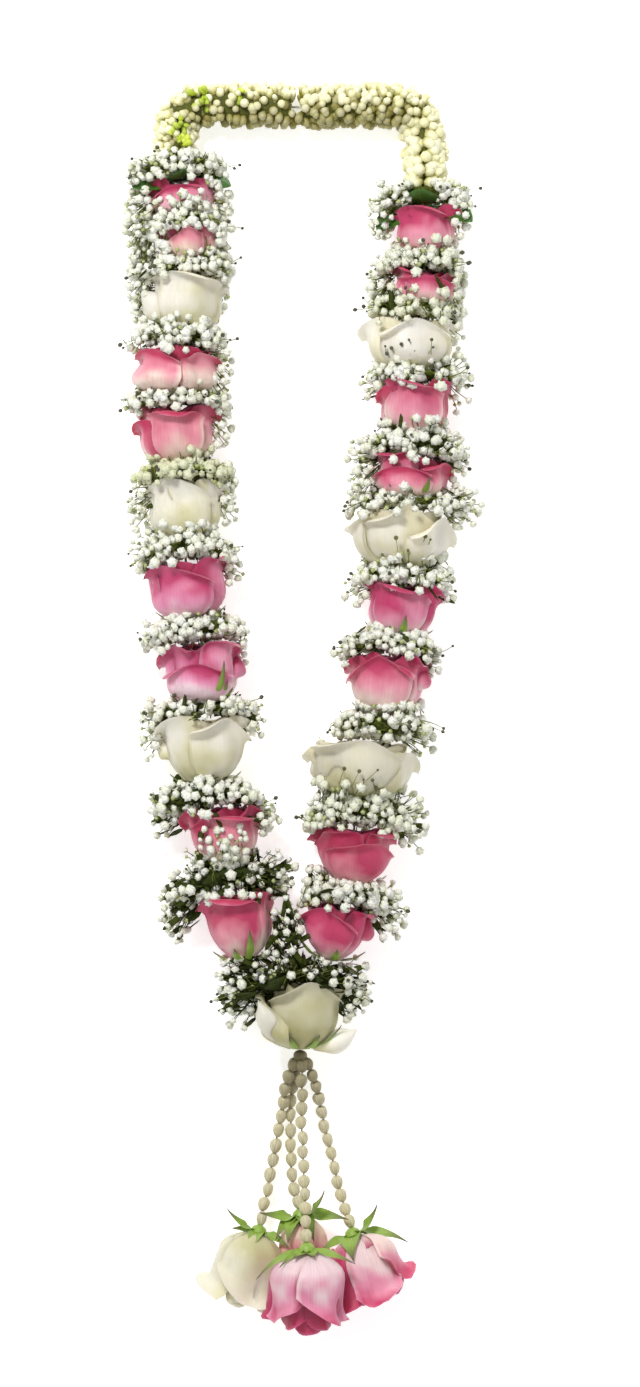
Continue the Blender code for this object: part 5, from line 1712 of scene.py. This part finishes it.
class GARLAND_OT_strung_roses(bpy.types.Operator):
    """The 23 roses strung along the garland"""

    bl_idname = "garland.strung_roses"
    bl_label = "Strung roses"

    def execute(self, context):
        settings = context.scene.garland_roses
        greens = sepal_finish(context.scene.garland_greens)
        skins = petal_skins(settings)
        for number, (name, (depth, cast, taper, front)) in enumerate(STRUNG_LOOKS.items()):
            rng = draws("strung_roses", number)
            kind = name.rsplit("_", 1)[1]
            made = [petals(BLOOMS[name], strung_rows(front, rng), settings, depth, cast, taper, rng)]
            made += loose_petals(LOOSE_PETALS.get(name, ()), settings, depth, cast, rng)
            made.append(base_sepals(BLOOMS[name], STANDING_SEPALS.get(name, ()), rng, 1))
            make_piece(f"{name}_bloom", made, [skins[kind], greens], [name])
        return {"FINISHED"}


def petal_skins(settings):
    """The two petal materials, shared by every rose."""
    if "pink_petal_skin" not in bpy.data.materials:
        casts = {"pink": ((255, 238, 212), (244, 226, 252)), "white": ((192, 190, 160), (255, 252, 248))}
        looks = (("pink", 0.25, 0.35, (1.0, 0.7, 0.65)), ("white", 0.12, 0.5, (1.0, 1.0, 0.85)))
        for kind, *feel in looks:
            parts = ("foot", "middle", "rim", "inside")
            tints = [tuple(getattr(settings, f"{kind}_{part}")) for part in parts]
            petal_finish(f"{kind}_petal_skin", *tints, *feel, *(srgb(*cast) for cast in casts[kind]))
    return {kind: bpy.data.materials[f"{kind}_petal_skin"] for kind in ("pink", "white")}


class GARLAND_OT_tassel_roses(bpy.types.Operator):
    """The four roses that hang open at the tassel's end"""

    bl_idname = "garland.tassel_roses"
    bl_label = "Tassel roses"

    def execute(self, context):
        settings = context.scene.garland_roses
        skins = petal_skins(settings)
        for number, (name, (depth, cast, first, outermost)) in enumerate(HANGING_LOOKS.items()):
            rng = draws("tassel_roses", number)
            kind = name.rsplit("_", 1)[1]
            rows = hanging_rows(first, outermost, rng)
            made = [petals(BLOOMS[name], rows, settings, depth, cast, 0.0, rng)]
            make_piece(f"{name}_bloom", made, [skins[kind]], [name])
        return {"FINISHED"}


class GARLAND_OT_babys_breath(bpy.types.Operator):
    """The rings of baby's breath between the roses"""

    bl_idname = "garland.babys_breath"
    bl_label = "Baby's breath"

    def execute(self, context):
        settings = context.scene.garland_sprays
        materials = [floret_finish(settings), stem_finish(settings)]
        rings = []
        for side, names in STRUNG.items():
            for i, name in enumerate(names):
                above = [BLOOMS[names[i - 1]]] if i else []
                rings.append((f"{side}_{i + 1:02d}", BLOOMS[name], above))
        last = [BLOOMS[names[-1]] for names in STRUNG.values()]
        rings.append(("tip", BLOOMS[TIP], last))
        for number, (ring_name, below, above) in enumerate(rings):
            made = spray_ring(ring_name, below, above, settings, draws("babys_breath", number))
            name = f"babys_breath_{ring_name}"
            make_piece(f"{name}_florets", made, materials, [name])
        return {"FINISHED"}


class GARLAND_OT_neck_buds(bpy.types.Operator):
    """The two halves of the neck's rope of jasmine buds"""

    bl_idname = "garland.neck_buds"
    bl_label = "Neck buds"

    def execute(self, context):
        settings = context.scene.garland_buds
        materials = [neck_bud_finish(settings), rope_core_finish()]
        for number, side in enumerate(NECK_LINES):
            rng = draws("neck_buds", number)
            name = f"neck_buds_{side}"
            make_piece(f"{name}_jasmine", neck_rope(side, settings, rng), materials, [name])
        return {"FINISHED"}


class GARLAND_OT_tassel_buds(bpy.types.Operator):
    """The tassel's strings of jasmine buds"""

    bl_idname = "garland.tassel_buds"
    bl_label = "Tassel buds"

    def execute(self, context):
        settings = context.scene.garland_buds
        made = tassel_strings(settings, draws("tassel_buds"))
        materials = [tassel_bud_finish(settings)]
        make_piece("tassel_jasmine_strings", made, materials, ["tassel_bud_strings"])
        return {"FINISHED"}


class GARLAND_OT_greens(bpy.types.Operator):
    """The calyxes of the tassel roses and the leaves under the top rings"""

    bl_idname = "garland.greens"
    bl_label = "Sepals and leaves"

    def execute(self, context):
        settings = context.scene.garland_greens
        sepals, leaves = sepal_finish(settings), leaf_finish(settings)
        for number, name in enumerate(HANGING):
            side = name.split("_")[2]
            made = calyx(side, BLOOMS[name], settings, draws("calyxes", number))
            make_piece(f"calyx_{side}_sepals", made, [sepals], [f"calyx_{side}"])
        for number, side in enumerate(STRUNG):
            made = leaf_collar(side, settings, draws("leaf_collars", number))
            make_piece(f"leaf_collar_{side}_leaves", made, [leaves], [f"leaf_collar_{side}"])
        return {"FINISHED"}


class GARLAND_OT_thread(bpy.types.Operator):
    """The cotton thread, which keeps its solid and gets its finish"""

    bl_idname = "garland.thread"
    bl_label = "Thread"

    def execute(self, context):
        cotton = cotton_finish(context.scene.garland_greens)
        for slot in NODES["thread"].material_slots:
            slot.material = cotton
        return {"FINISHED"}


# The floor lies just under the garland. The camera looks straight down on PICTURE_MIDDLE, which is at the
# height of the strands' middle, with a sensor of SENSOR millimetres
FLOOR_HEIGHT = -0.3 * MM
PICTURE_MIDDLE = (14 * MM, 8 * MM, 30 * MM)
SENSOR = 36


class GARLAND_OT_stage(bpy.types.Operator):
    """The pale floor, the soft light and the camera over the garland"""

    bl_idname = "garland.stage"
    bl_label = "Stage"

    def execute(self, context):
        settings = context.scene.garland_stage
        scene = context.scene
        scene.view_settings.view_transform = "Standard"
        far = 0.5 * settings.floor_width
        corners = [(far * x, far * y, FLOOR_HEIGHT) for x, y in ((-1, -1), (1, -1), (1, 1), (-1, 1))]
        mesh = bpy.data.meshes.new("floor")
        mesh.from_pydata(corners, [], [(0, 1, 2, 3)])
        mesh.materials.append(floor_finish(settings.floor, settings.floor_glow))
        floor = bpy.data.objects.new("floor", mesh)
        scene.collection.objects.link(floor)
        world = bpy.data.worlds.new("studio")
        scene.world = world
        world.use_nodes = True
        sky = world.node_tree.nodes["Background"]
        sky.inputs["Color"].default_value = (1.0, 1.0, 1.0, 1.0)
        sky.inputs["Strength"].default_value = settings.sky_light
        self.lamp(scene, "key", (-0.7, 1.5, 2.1), (0, 0, 0), 0.5, settings.key_power)
        self.lamp(scene, "fill", (0.9, -0.9, 2.4), (0, -0.1, 0), 1.8, settings.fill_power)
        camera_data = bpy.data.cameras.new("camera")
        camera_data.sensor_width = SENSOR
        camera_data.lens = SENSOR * settings.camera_distance / settings.picture_height
        camera = bpy.data.objects.new("camera", camera_data)
        x, y, height = PICTURE_MIDDLE
        camera.location = (x, y, height + settings.camera_distance)
        scene.collection.objects.link(camera)
        scene.camera = camera
        return {"FINISHED"}

    def lamp(self, scene, name, place, aim, width, watts):
        """A soft square lamp at a place, aimed at a point."""
        data = bpy.data.lights.new(name, "AREA")
        data.size = width
        data.energy = watts
        lamp = bpy.data.objects.new(name, data)
        z = unit(np.array(place, float) - np.array(aim, float))
        side = unit(np.cross(UP, z))
        turn = np.eye(4)
        turn[:3, :3] = np.stack((side, np.cross(z, side), z), axis=-1)
        turn[:3, 3] = place
        lamp.matrix_world = Matrix(turn.tolist())
        scene.collection.objects.link(lamp)


OPERATORS = (
    GARLAND_OT_stage,
    GARLAND_OT_strung_roses,
    GARLAND_OT_tassel_roses,
    GARLAND_OT_babys_breath,
    GARLAND_OT_neck_buds,
    GARLAND_OT_tassel_buds,
    GARLAND_OT_greens,
    GARLAND_OT_thread,
)
SETTINGS = {
    "garland_roses": RoseSettings,
    "garland_sprays": SpraySettings,
    "garland_buds": BudSettings,
    "garland_greens": GreenSettings,
    "garland_stage": StageSettings,
}


class GARLAND_PT_panel(bpy.types.Panel):
    """Lists the garland's pieces in the 3D view's sidebar"""

    bl_idname = "GARLAND_PT_panel"
    bl_label = "Wedding garland"
    bl_space_type = "VIEW_3D"
    bl_region_type = "UI"
    bl_category = "Garland"

    def draw(self, context):
        for operator in OPERATORS:
            self.layout.operator(operator.bl_idname)


def register():
    for cls in (*SETTINGS.values(), *OPERATORS, GARLAND_PT_panel):
        bpy.utils.register_class(cls)
    for name, cls in SETTINGS.items():
        setattr(bpy.types.Scene, name, bpy.props.PointerProperty(type=cls))


def unregister():
    for name in SETTINGS:
        delattr(bpy.types.Scene, name)
    for cls in (GARLAND_PT_panel, *reversed(OPERATORS), *SETTINGS.values()):
        bpy.utils.unregister_class(cls)


def main():
    register()
    for operator in OPERATORS:
        group, name = operator.bl_idname.split(".")
        getattr(getattr(bpy.ops, group), name)()


if __name__ == "__main__":
    main()
